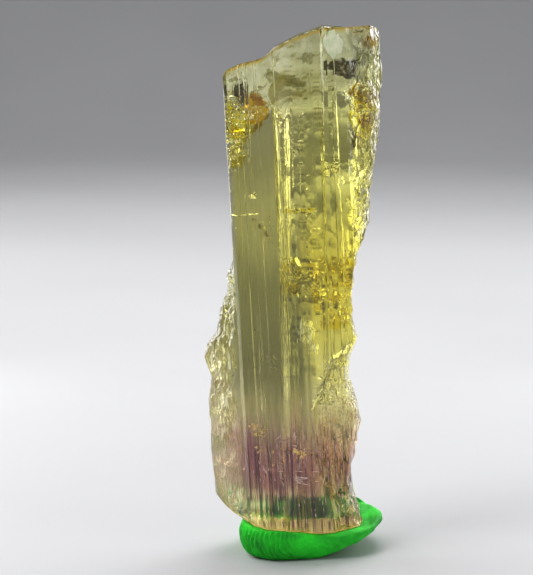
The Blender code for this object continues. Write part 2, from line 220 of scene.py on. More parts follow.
# Veils of small hollows along lines inside the crystal: (start, end, spread, count, largest size).
VEILS = (
    ((3.1, -1.6, 18.0), (0.6, -1.6, 13.2), 0.3, 60, 0.2),
    ((3.6, -2.4, 17.0), (1.2, -2.4, 9.5), 1.1, 110, 0.18),
    ((7.4, 0.6, 45.0), (7.2, -0.4, 36.5), 0.9, 130, 0.26),
    ((-5.8, -0.8, 46.0), (-5.6, -0.6, 38.4), 0.8, 140, 0.28),
    ((-2.6, 0.2, 45.6), (-3.4, 0.2, 42.4), 0.8, 40, 0.2),
    ((0.4, 0.2, 34.0), (4.8, 0.6, 24.0), 1.0, 80, 0.16),
    ((-0.4, -0.2, 33.8), (2.3, -0.2, 33.0), 0.22, 110, 0.15),
    ((0.0, 0.4, 28.0), (5.0, 0.4, 22.5), 1.7, 120, 0.26),
    ((0.0, 0.6, 27.5), (5.0, 0.6, 20.5), 1.8, 60, 0.65),
    ((-2.0, -3.2, 25.0), (-0.85, -3.2, 45.0), 0.16, 190, 0.13),
    ((-1.5, -3.6, 23.0), (-0.4, -3.6, 43.5), 0.1, 150, 0.11),
    ((2.8, -4.0, 27.0), (3.6, -4.0, 49.5), 0.08, 170, 0.1),
    ((4.5, -3.6, 27.0), (4.7, -3.6, 42.0), 0.08, 100, 0.09),
    ((-6.1, -2.3, 46.5), (-6.1, -2.3, 29.0), 0.14, 170, 0.11),
    ((-0.3, -1.0, 44.0), (1.5, 0.5, 35.0), 0.7, 70, 0.16),
    ((-3.55, -1.2, 33.2), (-2.5, -1.2, 30.7), 0.14, 50, 0.12),
    ((-3.0, -1.0, 33.0), (-2.4, -1.0, 31.8), 0.4, 16, 0.14),
    ((-6.0, -1.2, 8.0), (3.6, -1.2, 5.6), 1.5, 220, 0.16),
    ((-5.3, -2.6, 11.1), (-4.5, -2.6, 10.7), 0.5, 50, 0.16),
    ((-1.6, -3.4, 8.3), (0.1, -3.4, 8.0), 0.4, 50, 0.14),
    ((-4.6, -1.0, 30.0), (-4.2, -1.0, 14.0), 0.5, 24, 0.12),
    ((-8.6, 0.6, 19.0), (-8.3, 0.6, 6.0), 1.0, 120, 0.14),
)
BUBBLE_THIN = 0.12  # their thickness for their size
# Nearly flat cracks that shine in the key light: (centre, half length, half width), all facing one way.
MIRRORS = (
    ((0.55, -3.2, 21.5), 0.8, 1.2), ((1.3, -3.2, 19.6), 0.4, 0.6), ((3.9, -2.6, 17.6), 0.45, 0.35),
    ((2.6, -3.0, 18.2), 0.35, 0.4), ((0.8, -3.4, 12.0), 0.1, 1.5), ((3.3, -2.3, 9.8), 0.35, 0.6),
    ((4.5, -3.0, 36.2), 0.22, 0.5), ((0.15, -3.4, 40.7), 0.2, 0.28),
)
MIRROR_TILT, MIRROR_TURN = 71.7, -100.7
MIRROR_CRINKLE = 0.035  # how crinkled they are, where 1 is a crack
# Glinting flaws: flat hollow flakes that nearly face one way: (middle, spreads across and along, count,
# largest size, how long for their width).
GLINTS = (
    ((2.0, -2.2, 15.6), 0.55, 0.9, 26, 0.18, 1.6), ((3.5, -2.2, 13.4), 0.6, 0.9, 22, 0.18, 1.4),
    ((4.55, -2.4, 36.2), 0.16, 0.3, 10, 0.28, 1.6), ((0.05, -2.6, 40.7), 0.1, 0.12, 5, 0.22, 1.2),
    ((-5.9, -1.4, 43.2), 0.45, 1.5, 44, 0.24, 2.4), ((-5.3, -1.4, 40.0), 0.5, 0.7, 24, 0.22, 2.0),
    ((1.6, -1.6, 26.8), 1.3, 0.9, 44, 0.22, 1.6), ((4.2, -1.6, 23.6), 0.6, 1.6, 36, 0.24, 1.6),
    ((0.2, -1.8, 43.3), 0.7, 0.4, 22, 0.14, 1.4), ((-4.0, -1.6, 35.3), 0.2, 0.18, 9, 0.16, 1.2),
    ((-1.0, -2.4, 6.4), 1.2, 0.9, 50, 0.22, 2.6), ((-4.6, -2.0, 11.2), 0.55, 0.3, 18, 0.18, 1.6),
    ((2.4, -2.2, 7.5), 1.3, 1.8, 60, 0.2, 2.6), ((-8.4, -0.2, 15.0), 0.6, 3.5, 50, 0.16, 1.8),
)
GLINT_DEEP = 0.3  # their spread front to back
# The way they face, how far they wander from it, and their thickness for their size.
GLINT_WAY, GLINT_WANDER, GLINT_THIN = (-0.19, -0.93, 0.31), 0.025, 0.012
# Hollow growth tubes along the crystal: (x at EDGE_LEVEL, y, lowest and highest z, radius, slant).
TUBES = (
    (-4.92, -2.8, 13.0, 27.5, 0.06, 0.0), (-4.38, -2.9, 12.0, 24.0, 0.07, 0.0),
    (-4.12, -2.9, 12.5, 22.0, 0.06, 0.0), (-3.4, -3.0, 13.0, 21.0, 0.04, 0.0),
    (-4.35, -2.8, 27.0, 44.0, 0.025, 0.0), (-3.15, -3.0, 29.0, 40.5, 0.022, 0.0),
    (-1.16, -3.4, 22.0, 45.5, 0.06, 0.055), (-0.84, -3.5, 25.0, 43.0, 0.045, 0.055),
    (-0.45, -3.8, 23.0, 44.5, 0.06, 0.055), (-0.12, -4.0, 29.0, 41.0, 0.035, 0.055),
    (3.28, -4.1, 26.0, 50.0, 0.06, 0.035), (3.1, -4.2, 30.0, 39.0, 0.035, 0.035),
    (4.64, -3.8, 28.0, 42.0, 0.05, 0.015), (2.05, -4.0, 34.0, 44.0, 0.03, 0.04),
    (0.9, -4.0, 33.0, 42.5, 0.03, 0.05),
)
TUBE_PIECES, TUBE_BREAKS = (1.5, 5.0), (0.1, 0.5)  # shortest and longest
# Fans of fine hollow needles: (root, spread of the root, leading direction, length, count).
NEEDLES = (
    ((-0.6, -2.2, 5.6), 0.7, (1.0, 0.0, -0.7), 1.3, 9),
    ((-2.6, -2.4, 6.6), 0.6, (0.4, 0.0, -1.0), 1.0, 7),
    ((-5.9, -1.2, 39.4), 0.3, (1.0, 0.0, 0.5), 1.6, 6),
    ((-2.9, -1.6, 18.8), 0.5, (0.6, 0.0, -0.8), 1.3, 5),
    ((-1.6, -1.4, 10.4), 0.8, (1.0, 0.1, 0.2), 1.0, 7),
    ((-4.6, -1.0, 12.0), 0.8, (0.3, 0.1, -1.0), 1.0, 5),
    ((2.4, -1.2, 14.0), 0.9, (0.5, 0.0, 1.0), 0.9, 8),
    ((-8.4, 0.0, 10.0), 0.9, (0.3, 0.0, 1.0), 1.0, 8),
)
NEEDLE_THICKNESS, NEEDLE_WANDER = 0.025, 0.35
# Dark mineral grains inside the crystal: (middle, spreads across and along the crystal, count).
DARK_GRAINS = (
    ((1.0, 0.0, 33.3), 0.9, 0.35, 9),
    ((-3.1, -0.4, 31.9), 0.35, 0.7, 10),
    ((2.6, 0.2, 30.5), 1.3, 2.2, 16),
    ((2.8, 0.4, 25.5), 1.4, 2.0, 12),
    ((4.6, 0.2, 38.5), 1.2, 3.0, 14),
    ((0.6, 0.2, 40.5), 0.9, 3.0, 10),
    ((6.2, 0.3, 42.5), 0.8, 1.8, 12),
    ((-4.4, 0.2, 20.0), 1.0, 9.0, 8),
    ((-1.5, 0.0, 9.5), 2.2, 1.4, 14),
)
# Ochre flecks lie in the pits of its front face: (x and z of their middle, spreads, count).
OCHRE_FLECKS = (
    ((-5.3, 11.7), (0.3, 0.2), 30),
    ((-4.7, 11.2), (0.3, 0.2), 22),
    ((-5.0, 9.5), (0.2, 0.3), 12),
    ((-1.7, 9.3), (0.4, 0.18), 44),
    ((-0.7, 9.0), (0.45, 0.24), 56),
    ((-3.6, 8.3), (0.04, 0.5), 16),
)
# Fans of pale fibres in the front face: (x and z of the root, spreads across and along, leading direction,
# wander of the direction, length, count); the upright ones low down paint highlight streaks. Then bright
# fibres beside the shining cracks, whose pale colour paints their glint.
FIBRES_AND_PAINTED_STREAKS = (
    ((-0.6, 6.2), (0.5, 0.5), (1.0, -0.5), 0.4, 1.4, 18),
    ((-2.7, 7.0), (0.5, 0.5), (0.4, -1.0), 0.4, 1.2, 16),
    ((-4.7, 7.3), (0.4, 0.4), (0.2, -1.0), 0.4, 0.9, 9),
    ((-1.9, 10.8), (0.6, 0.4), (1.0, 0.2), 0.4, 1.0, 9),
    ((1.7, 6.6), (0.5, 0.5), (0.5, -1.0), 0.4, 0.8, 9),
    ((-3.2, 18.6), (0.4, 0.4), (0.6, -0.8), 0.4, 1.0, 7),
    ((-2.0, 8.0), (2.2, 1.8), (0.0, 1.0), 0.03, 1.2, 66),
    ((2.6, 7.0), (1.5, 2.6), (0.0, 1.0), 0.03, 1.2, 80),
    ((1.0, 3.2), (3.0, 0.8), (0.0, 1.0), 0.03, 0.9, 30),
)
# Fibres whose bright pale colour paints the glint beside the shining cracks.
FIBRES_WITH_PAINTED_GLINT = (
    ((0.35, 21.5), (0.5, 0.6), (0.12, 1.0), 0.12, 0.9, 40),
    ((0.9, 19.9), (0.34, 0.5), (0.3, 1.0), 0.15, 0.7, 20),
    ((2.3, 18.0), (0.45, 0.18), (0.4, 1.0), 0.3, 0.5, 22),
    ((4.0, 17.4), (0.4, 0.2), (0.2, 1.0), 0.3, 0.5, 30),
    ((2.1, 15.5), (0.25, 0.7), (0.5, 1.0), 0.4, 0.5, 20),
    ((4.6, 36.2), (0.06, 0.25), (0.0, 1.0), 0.05, 0.7, 9),
)
GRAIN_SIZES, FLECK_SIZES = (0.03, 0.09), (0.04, 0.11)  # smallest and largest
FIBRE_THICKNESS = 0.03
# Fibres keep this far from the left edge, from the right edge or flank, and above the broken base.
FIBRE_LEFT, FIBRE_RIGHT, FIBRE_FOOT = 0.3, 0.9, 0.6
FLECK_DEPTH = 0.03  # how deep the ochre flecks' middles lie under the face
HOLLOW = -1.0  # how worn the hollows inside are marked, which keeps the surface's relief off them
# Nothing inside the crystal comes nearer than this to its smooth and to its worn surfaces.
FACE_MARGIN, WORN_MARGIN = 0.25, 0.8
# The left flank, as far as they are concerned: its middle in y, half its depth, and the gap kept there.
LEFT_MIDDLE, LEFT_HALF_DEPTH, LEFT_MARGIN = 0.55, 3.2, 0.4

# --------------------------------------
# The putty's form.

PAT_OUTLINE = (
    (-4.7, -6.8), (-2.2, -6.7), (0.8, -6.0), (3.4, -5.4), (5.4, -4.2), (6.9, -1.7), (7.35, 1.2),
    (6.5, 4.6), (4.0, 7.0), (0.0, 7.7), (-3.8, 6.9), (-6.6, 3.2), (-7.6, -1.4), (-7.0, -5.0),
)
PAT_CENTRE = (-0.4, -0.3)
PAT_THICKNESS = ((-7.5, 3.9), (0.0, 3.0), (7.5, 1.5))  # (x, thickness)
# Its back is thicker by this much (x, rise), which grows between these y.
BACK_RISE = ((-6.8, 0.0), (-4.8, 1.4), (0.0, 1.8), (2.6, 1.7), (5.5, 0.8), (7.0, 0.0))
BACK_START, BACK_END = 1.5, 5.5
PAT_LIFT = 2.2  # its right lobe curls this far off the table
LIFT_START, LIFT_END = 0.4, 7.5  # between these x
LIFT_BEND = 1.2  # the higher, the later it curls
FOOT_SHARE = 0.8  # share of the pat's radius where its foot is flat
SIDE_SHARE = 0.42  # share of its rings that make its rounded side
PAT_POINTS, PAT_RINGS = 460, 110
SEAT_GAP = 0.06  # between the crystal and the putty pressed round its base
SEAT_REACH = (5.9, 5.4)  # the dent ends this far out to the right, and this far to the front and the back
DENT_RELIEF, DENT_SIZE = 0.05, 3.0
SEAT_RISE = 0.8  # slope of the putty outside the dent
SEAT_WALL = 2.6  # the same behind the crystal, where the putty stands up against it
DENT_BLEND = 0.7  # the dent's rim is rounded over about this height
CALM_EDGE = 0.4  # the relief fades out over this height beside the dent and above the table
PUTTY_INSET = 0.06  # the relief is sunk by this much, so that it does not swell the pat
# A fingerprint on its left front: ridge spacing and height, and the turn and reach (radians) of its middle.
PRINT_SPACING = 0.48
PRINT_HEIGHT = 0.12
PRINT_TURN, PRINT_REACH = -2.45, 0.75
PRINT_RADIUS = 7.2  # of the pat there
PUTTY_LUMPS = ((2.4, 0.14, 5), (0.8, 0.1, 9), (0.3, 0.045, 13))  # (size, height, seed)

# --------------------------------------
# Shapes


def curve(points, at):
    """The second value of (first, second) pairs, interpolated at each given first value."""
    first, second = zip(*points)
    return np.interp(at, first, second)


def fraction(value):
    """The value, held between 0 and 1."""
    return np.clip(value, 0, 1)


def waves(points, size, seed):
    """Smooth noise from -1 to 1 at each point, with features of about this size."""
    shift = Vector((seed, 1.7 * seed, -2.3 * seed))
    return np.array([noise.noise(Vector(p) / size + shift) for p in points])


def scoops(points, size, stretch, seed):
    """Depth of shell-shaped scoops, from 0 on the sharp ridges between them to about 1 in their middles."""
    shift = Vector((seed, 1.7 * seed, -2.3 * seed))
    depths = []
    for x, y, z in points:
        nearest = noise.voronoi(Vector((x, y, z / stretch)) / size + shift)[0][0]
        depths.append(max(0.0, 1 - nearest * nearest))
    return np.array(depths)


def along(edges, count):
    """This many points along the edges, with one on each corner, the longest stretches divided first."""
    ends = list(zip(edges, edges[1:]))
    pieces = [1] * len(ends)
    while sum(pieces) < count - 1:
        longest = max(range(len(ends)), key=lambda i: math.dist(*ends[i]) / pieces[i])
        pieces[longest] += 1
    found = []
    for ((x0, y0), (x1, y1)), parts in zip(ends, pieces):
        found += [(x0 + (x1 - x0) * i / parts, y0 + (y1 - y0) * i / parts) for i in range(parts)]
    return found + [edges[-1]]


def columns():
    """The columns of points round the crystal from its left extreme, as arrays: kind, x and y."""
    back, front = BACK_EDGES[-1][1], FRONT_EDGES[0][1]
    left = []
    for share in np.linspace(0, 1, FLANK_POINTS + 2)[1:-1]:
        left.append(("left", math.sin(math.pi * share) ** LEFT_ROUNDING, back + (front - back) * share))
    middle = FLANK_POINTS // 2
    found = left[middle:] + [("face", x, y) for x, y in along(FRONT_EDGES, FRONT_POINTS)]
    for turn in np.linspace(-FLANK_TURN, FLANK_TURN, FLANK_POINTS):
        found.append(("right", math.cos(turn) ** RIGHT_ROUNDING, FLANK_DEPTH * math.sin(turn)))
    found += [("face", x, y) for x, y in along(BACK_EDGES, FRONT_POINTS)] + left[:middle]
    kinds, x, y = zip(*found)
    return np.array(kinds), np.array(x), np.array(y)


def scar_limit(x, z):
    """How far back the flake scars let the crystal reach at each x and z."""
    flat = np.stack([x, 0 * x, z], axis=1)
    relief = sum(
        depth * (scoops(flat, size, stretch, seed) - 0.4) for size, depth, stretch, seed in SCAR_SCOOPS
    )
    above = z - curve(SCAR_RIM, x)
    above = above + (curve(SCAR_RIM, x) - curve(SCAR_START, x)) * fraction(above / SCAR_BLEND)
    frayed = (0.3 * waves(flat, 0.8, 71) + 0.15 * waves(flat, 0.3, 72)) * fraction(1.2 - np.abs(above))
    return SCAR_BACK - SCAR_SLOPE * (above + frayed) - relief


def broken_share(x, z):
    """How far into the broken lower right of the front each x and z lies, from 0 to 1."""
    beyond = (x - curve(BREAK_LINE, z)) / BREAK_RUN
    return fraction(beyond) * fraction((BREAK_LINE[-1][0] - z) / 2)


def triangle_wave(at):
    """A wave of straight ramps between -1 and 1."""
    return 4 * np.abs(at - np.floor(at + 0.5)) - 1


def unworn_outline(kinds, x, y, z):
    """Where each column stands in x at its own height z, and how far the window's step has spread there."""
    left, right = curve(LEFT_FLANK, z), curve(RIGHT_FLANK, z)
    shoulder = np.minimum(RIGHT_EDGE, right - SHOULDER)
    squeeze = (shoulder - INNER_EDGE) / (RIGHT_EDGE - INNER_EDGE)
    face_x = np.where(y < 0, x + curve(EDGE_SLANT, x) * (z - EDGE_LEVEL), x)
    spread = SPREAD_REACH * fraction((z - SPREAD_LOW) / (SPREAD_HIGH - SPREAD_LOW))
    face_x = face_x - np.where(y < 0, spread * curve(STEP_SPREAD, x), 0)
    face_x = np.where(x > INNER_EDGE, INNER_EDGE + (face_x - INNER_EDGE) * squeeze, face_x)
    left_x, right_x = LEFT_EDGE + (left - LEFT_EDGE) * x, shoulder + (right - shoulder) * x
    flank_x = np.where(kinds == "left", left_x, right_x)
    return np.where(kinds == "face", face_x, flank_x), spread


def wear(kinds, px, y, z, broken):
    """How worn each place is, from 0 on the smooth faces to 1 on the flanks."""
    # The back is etched from its middle to its right, and smooth behind the front window.
    patches = waves(np.stack([px, 0 * px, z / PATCH_LENGTH], axis=1), PATCH_SIZE, 14)
    etched = fraction((px - ETCH_START) / ETCH_RUN) * (y > 0)
    etched = etched * fraction(curve(BACK_WEAR, z) + PATCH_SHARE * patches)
    left = fraction((LEFT_EDGE - px) / LEFT_WEAR_RUN)
    worn = np.where(kinds == "left", left, np.where(kinds == "right", 1.0, 0.0))
    return np.where(kinds == "face", np.maximum(BROKEN_WEAR * broken, ETCHED_WEAR * etched), worn)


def line_strength(kinds, x, y, z, px, spread):
    """How strong the growth lines are at each place: faint on the window, bolder low down."""
    face = kinds == "face"
    window = (px < WINDOW_EDGE) & (z > WINDOW_FOOT)
    lined = np.where(face, 1.0, FLANK_LINES) * np.where(window, WINDOW_LINES, np.clip(1.6 - z / 25, 0.5, 1))
    lined = lined * np.clip(2.2 - z / 12, 1, 2)
    for middle, half in STEPPED_BANDS:
        lined = lined + STEPPED * fraction(1.4 - np.abs(x - middle) / half) * (face & (y < 0))
    lined = lined * (1 - spread / SPREAD_REACH * curve(STEP_SPREAD, x))
    for (middle_x, middle_z), (wide, tall), coarser in CHIPPED:
        near = 1.4 - np.hypot((px - middle_x) / wide, (z - middle_z) / tall)
        lined = lined + coarser * fraction(2 * near) * (face & (y < 0))
    return lined


def outline(kinds, x, y, z):
    """Where each column stands at its own height z, and how worn and scarred it is there."""
    px, spread = unworn_outline(kinds, x, y, z)
    broken = broken_share(px, z) * (y < 0)
    worn = wear(kinds, px, y, z, broken)
    lined = line_strength(kinds, x, y, z, px, spread)

    py = y + BREAK_DEPTH * broken
    at = np.stack([px, py, z], axis=1)
    inward = FACE_WAVE * waves(at, WAVE_SIZE, 8)
    bold = np.where(kinds == "face", worn, worn * (1 - EXTREME_CALM * x ** 3))
    fine = np.where((kinds == "face") & (y > 0), BACK_FINE * worn, worn)
    fine = np.where(kinds == "left", worn * (1 - LEFT_CALM * fraction((CALM_TOP - z) / CALM_RUN)), fine)
    for share, (size, depth, stretch, seed) in zip((bold, fine), SCOOPS):
        inward = inward + depth * share * (scoops(at, size, stretch, seed) - 0.35)
    low, high, ridge, size = CRINKLE
    crinkled = np.where(kinds == "left", fraction(np.minimum(z - low, high - z) / CRINKLE_FADE), 0.0)
    lengthwise = CRINKLE_STRETCH * (z - CRINKLE_SLANT * px)
    slanted = np.stack([px + CRINKLE_SLANT * z, y, lengthwise], axis=1)
    inward = inward + ridge * crinkled * (2 * np.abs(waves(slanted, size, 33)) - 0.5)
    for period, height in STRIATIONS:
        inward = inward + height * lined * triangle_wave((x + 0.35 * y) / period + 0.02 * z / period)
    shrink = 1 - inward / np.hypot(px, py)
    px, py = px * shrink, py * shrink
    over = (py - scar_limit(px, z)) / SCAR_EDGE
    scarred = 1 / (1 + np.exp(-np.clip(over, -30, 30)))
    marks = np.stack([worn * (1 - scarred), scarred], axis=1)
    return px, py - SCAR_EDGE * np.logaddexp(over, 0), marks


def top_height(x, y):
    """The broken top: a low lip along the front, then a fall to the back."""
    behind = np.maximum(y - TOP_FRONT, 0)
    return curve(TOP_RIM, x) + TOP_LIP * (1 - np.exp(-behind / LIP_RUN)) - TOP_FALL * behind


def base_height(x, y):
    """The broken base, bulging downwards along its middle."""
    return curve(BASE_RIM, x) - BASE_BULGE * np.maximum(1 - (y / BASE_HALF_DEPTH) ** 2, 0)


def crystal_rings():
    """Rings of points up the crystal, and how worn, scarred and stained each point is, the stain along the
    top rim also painting an edge highlight.
    """
    kinds, x, y = columns()

    def rim(height, z):
        for _ in range(8):
            px, py, marks = outline(kinds, x, y, z)
            z = height(px, py)
        return np.stack([px, py, z], axis=1), marks

    def with_stain_and_highlight(marks, z):
        # Near the top rim this stain also paints a golden edge highlight; near the base it is brown stain
        # only.
        stain_and_highlight = np.maximum(1 - (top[:, 2] - z) / TOP_STAIN_AND_HIGHLIGHT, 0.6 * (1 - (z - base[:, 2]) / BASE_STAIN))
        return np.column_stack([marks, fraction(1.5 * stain_and_highlight)])

    base, base_marks = rim(base_height, np.full(len(x), 1.0))
    top, top_marks = rim(top_height, np.full(len(x), 50.0))
    rings, found = [base], [with_stain_and_highlight(base_marks, base[:, 2])]
    for share in np.linspace(0, 1, ROWS + 1)[1:-1]:
        z = base[:, 2] + (top[:, 2] - base[:, 2]) * share
        px, py, marks = outline(kinds, x, y, z)
        rings.append(np.stack([px, py, z], axis=1))
        found.append(with_stain_and_highlight(marks, z))
    return rings + [top], found + [with_stain_and_highlight(top_marks, top[:, 2])]


def end_cap(ring, first, height, flip, start):
    """Points and faces that close an end: rows from the front of its rim to the back.

    first is the index of the ring's first point, and start the index that the next new point gets.
    """
    half = len(ring) // 2
    points, faces = [], []
    rows = [[first] * (CAP_BANDS + 1)]
    for i in range(1, half):
        row = [first + i]
        for share in np.linspace(0, 1, CAP_BANDS + 1)[1:-1]:
            spot = ring[i] + (ring[-i] - ring[i]) * share
            points.append((spot[0], spot[1], height(spot[0], spot[1])))
            row.append(start + len(points) - 1)
        rows.append(row + [first + len(ring) - i])
    rows.append([first + half] * (CAP_BANDS + 1))
    for near, far in zip(rows, rows[1:]):
        for i in range(CAP_BANDS):
            corners = list(dict.fromkeys((near[i], far[i], far[i + 1], near[i + 1])))
            faces.append(corners[::-1] if flip else corners)
    return points, faces


def linked(name, data):
    """A new object in the scene with this mesh, light or camera."""
    thing = bpy.data.objects.new(name, data)
    bpy.context.scene.collection.objects.link(thing)
    return thing


def new_object(name, points, faces):
    """A mesh object from points in millimetres."""
    mesh = bpy.data.meshes.new(name)
    mesh.from_pydata([tuple(point * MM) for point in np.asarray(points, dtype=float)], [], faces)
    mesh.update()
    return linked(name, mesh)


def stand(thing):
    """Put an object made in the crystal's own frame in its place, leaning."""
    place = Matrix.Translation(Vector((*PLACE, SEAT_HEIGHT)) * MM) @ Matrix.Rotation(-LEAN, 4, "Y")
    thing.data.transform(place)
    return thing


def lens(place, tilt, turn, long, wide, gap, seed, crinkle=1.0):
    """Points, faces and rim shares of a thin crinkled lens, its faces turned outwards."""
    tilt, turn = math.radians(tilt), math.radians(turn)
    up = Vector((math.sin(tilt) * math.cos(turn), math.sin(tilt) * math.sin(turn), math.cos(tilt)))
    side = up.cross(Vector((0, 0, 1))).normalized()
    across = up.cross(side)

    def spot(share, angle, sign):
        round_x, round_y = math.cos(angle), math.sin(angle)
        ragged = sum(d * noise.noise(Vector((k * round_x, k * round_y, seed))) for d, k in CRACK_RAGGED)
        u, v = long * share * (1 + ragged) * round_x, wide * share * (1 + ragged) * round_y
        rise = sum(d * noise.noise(Vector((k * u, k * v, 5.0 + seed))) for d, k in CRACK_CRINKLE)
        rise = crinkle * (rise + CRACK_SADDLE * (u * u - v * v)) + sign * gap / 2 * (1 - share * share)
        return Vector(place) + side * u + across * v + up * rise

    points, shares, faces = [spot(0, 0, 1), spot(0, 0, -1)], [0.0, 0.0], []
    angles = [2 * math.pi * i / CRACK_POINTS for i in range(CRACK_POINTS)]
    rim = list(range(2, 2 + CRACK_POINTS))
    points += [spot(1, angle, 1) for angle in angles]
    shares += [1.0] * CRACK_POINTS
    for sign in (1, -1):
        inner = [0 if sign > 0 else 1] * CRACK_POINTS
        for ring in range(1, CRACK_RINGS + 1):
            loop = rim
            if ring < CRACK_RINGS:
                loop = list(range(len(points), len(points) + CRACK_POINTS))
                points += [spot(ring / CRACK_RINGS, angle, sign) for angle in angles]
                shares += [ring / CRACK_RINGS] * CRACK_POINTS
            for i in range(CRACK_POINTS):
                j = (i + 1) % CRACK_POINTS
                face = list(dict.fromkeys((inner[i], loop[i], loop[j], inner[j])))
                faces.append(face if sign > 0 else face[::-1])
            inner = loop
    return points, faces, shares


def grain(place, up, thick, sizes):
    """A small six-cornered flake or needle: its middle, direction, half its length, and six reaches."""
    side = up.orthogonal().normalized()
    across = up.cross(side)
    points = [Vector(place) + up * thick, Vector(place) - up * thick]
    for i, reach in enumerate(sizes):
        angle = math.pi / 3 * i
        points.append(Vector(place) + reach * (math.cos(angle) * side + math.sin(angle) * across))
    faces = []
    for i in range(6):
        j = (i + 1) % 6
        faces += [(0, 2 + i, 2 + j), (1, 2 + j, 2 + i)]
    return points, faces


def moved_on(faces, first):
    """The same faces, for points that begin at this index."""
    return [tuple(first + i for i in face) for face in faces]


def gathered(shapes):
    """Many (points, faces) shapes as one."""
    points, faces = [], []
    for more, added in shapes:
        faces += moved_on(added, len(points))
        points += more
    return points, faces


def any_way(chance):
    return Vector([chance.gauss(0, 1) for _ in range(3)]).normalized()


def scattered(middle, spreads, chance):
    """A place near the middle, with these spreads along the three axes."""
    return Vector(middle) + Vector([chance.gauss(0, spread) for spread in spreads])


def face_depth(edges, x, z):
    """y of the prism's front or back faces at x and z."""
    slanted = [(edge + (curve(EDGE_SLANT, edge) * (z - EDGE_LEVEL) if y < 0 else 0), y) for edge, y in edges]
    return float(curve(sorted(slanted), x))


def inside(place):
    """Whether a place is inside the crystal and clear of its surface."""
    x, y, z = place
    low, high = base_height(x, y) + FACE_MARGIN, top_height(x, y) - WORN_MARGIN
    left, right = curve(LEFT_FLANK, z), curve(RIGHT_FLANK, z)
    shoulder = min(RIGHT_EDGE, right - SHOULDER)
    left_margin = FACE_MARGIN if z > LEFT_FLANK[-1][0] else WORN_MARGIN
    if not (low < z < high and left + left_margin < x < right - WORN_MARGIN):
        return False
    if x < LEFT_EDGE:
        out = (LEFT_EDGE - x) / (LEFT_EDGE - left)
        return abs(y - LEFT_MIDDLE) < LEFT_HALF_DEPTH * (1 - out) - LEFT_MARGIN
    if x > shoulder:
        out = (x - shoulder) / (right - shoulder)
        return abs(y) < FLANK_DEPTH * math.sqrt(max(0.0, 1 - out * out)) - WORN_MARGIN
    back = min(face_depth(BACK_EDGES, x, z), SCAR_BACK - SCAR_SLOPE * (z - curve(SCAR_RIM, x)))
    return face_depth(FRONT_EDGES, x, z) + FACE_MARGIN < y < back - WORN_MARGIN


def hollows():
    """Every crack, bubble and needle inside the crystal. Their faces look inwards, as they are hollow."""
    shapes = [lens(*values, CRACK_GAP, 3.7 * seed)[:2] for seed, values in enumerate(CRACKS)]
    for seed, (place, long, wide) in enumerate(MIRRORS):
        flat = lens(place, MIRROR_TILT, MIRROR_TURN, long, wide, CRACK_GAP, 5.3 * seed, MIRROR_CRINKLE)
        shapes.append(flat[:2])
    chance = random.Random(4)
    for start, end, spread, count, largest in VEILS:
        for _ in range(count):
            place = scattered(Vector(start).lerp(Vector(end), chance.random()), [spread / 2] * 3, chance)
            size = largest * chance.uniform(0.3, 1.0)
            reaches = [size * chance.uniform(0.6, 1.2) for _ in range(6)]
            up = any_way(chance)
            if inside(place):
                shapes.append(grain(place, up, BUBBLE_THIN * size, reaches))
    for middle, wide, tall, count, largest, long in GLINTS:
        for _ in range(count):
            place = scattered(middle, (wide, GLINT_DEEP, tall), chance)
            size = largest * chance.uniform(0.4, 1.0)
            reaches = [size * chance.uniform(0.7, 1.2) * (1 if i % 3 == 1 else 1 / long) for i in range(6)]
            up = (Vector(GLINT_WAY) + GLINT_WANDER * any_way(chance)).normalized()
            if inside(place):
                shapes.append(grain(place, up, GLINT_THIN * size, reaches))
    for root, spread, way, length, count in NEEDLES:
        for _ in range(count):
            place = scattered(root, [spread / 2] * 3, chance)
            up = (Vector(way).normalized() + NEEDLE_WANDER * any_way(chance)).normalized()
            shapes.append(grain(place, up, length * chance.uniform(0.3, 0.6), [NEEDLE_THICKNESS] * 6))
    for x, y, low, high, radius, slant in TUBES:
        z = low
        while z < high:
            half = min(chance.uniform(*TUBE_PIECES), high - z) / 2
            place = Vector((x + slant * (z + half - EDGE_LEVEL), y, z + half))
            shapes.append(grain(place, Vector((slant, 0, 1)).normalized(), half, [radius] * 6))
            z += 2 * half + chance.uniform(*TUBE_BREAKS)
    points, faces = gathered(shapes)
    return points, [face[::-1] for face in faces]


def build_crystal():
    rings, found = crystal_rings()
    count = len(rings[0])
    points, marks = np.concatenate(rings), np.concatenate(found)
    faces = []
    for row in range(len(rings) - 1):
        low, high = row * count, (row + 1) * count
        for i in range(count):
            j = i - 1 if i else count - 1
            faces.append((low + j, low + i, high + i, high + j))
    for ring, height, flip in ((0, base_height, True), (len(rings) - 1, top_height, False)):
        more, added = end_cap(rings[ring], ring * count, height, flip, len(points))
        more = np.array(more)
        band = np.tile(np.arange(1, CAP_BANDS), len(more) // (CAP_BANDS - 1))
        inner = fraction(np.minimum(band, CAP_BANDS - band) / 4)
        more[:, 2] += inner * (0.06 * (scoops(more, 2.2, 1.0, 60) - 0.5) + 0.015 * waves(more, 0.7, 61))
        points = np.concatenate([points, more])
        marks = np.concatenate([marks, np.tile(CAP_MARKS, (len(more), 1))])
        faces += added
    more, added = hollows()
    faces += moved_on(added, len(points))
    points = np.concatenate([points, np.array(more)])
    marks = np.concatenate([marks, np.tile((HOLLOW, 0.0, 0.0), (len(more), 1))])
    thing = new_object("crystal", points, faces)
    for name, values in zip(("worn", "scar", "stain_and_highlight"), marks.T):
        layer = thing.data.attributes.new(name, "FLOAT", "POINT")
        layer.data.foreach_set("value", values.astype(np.float32))
    thing.data.shade_smooth()
    thing.data.set_sharp_from_angle(angle=SHARP_ANGLE)
    return stand(thing)


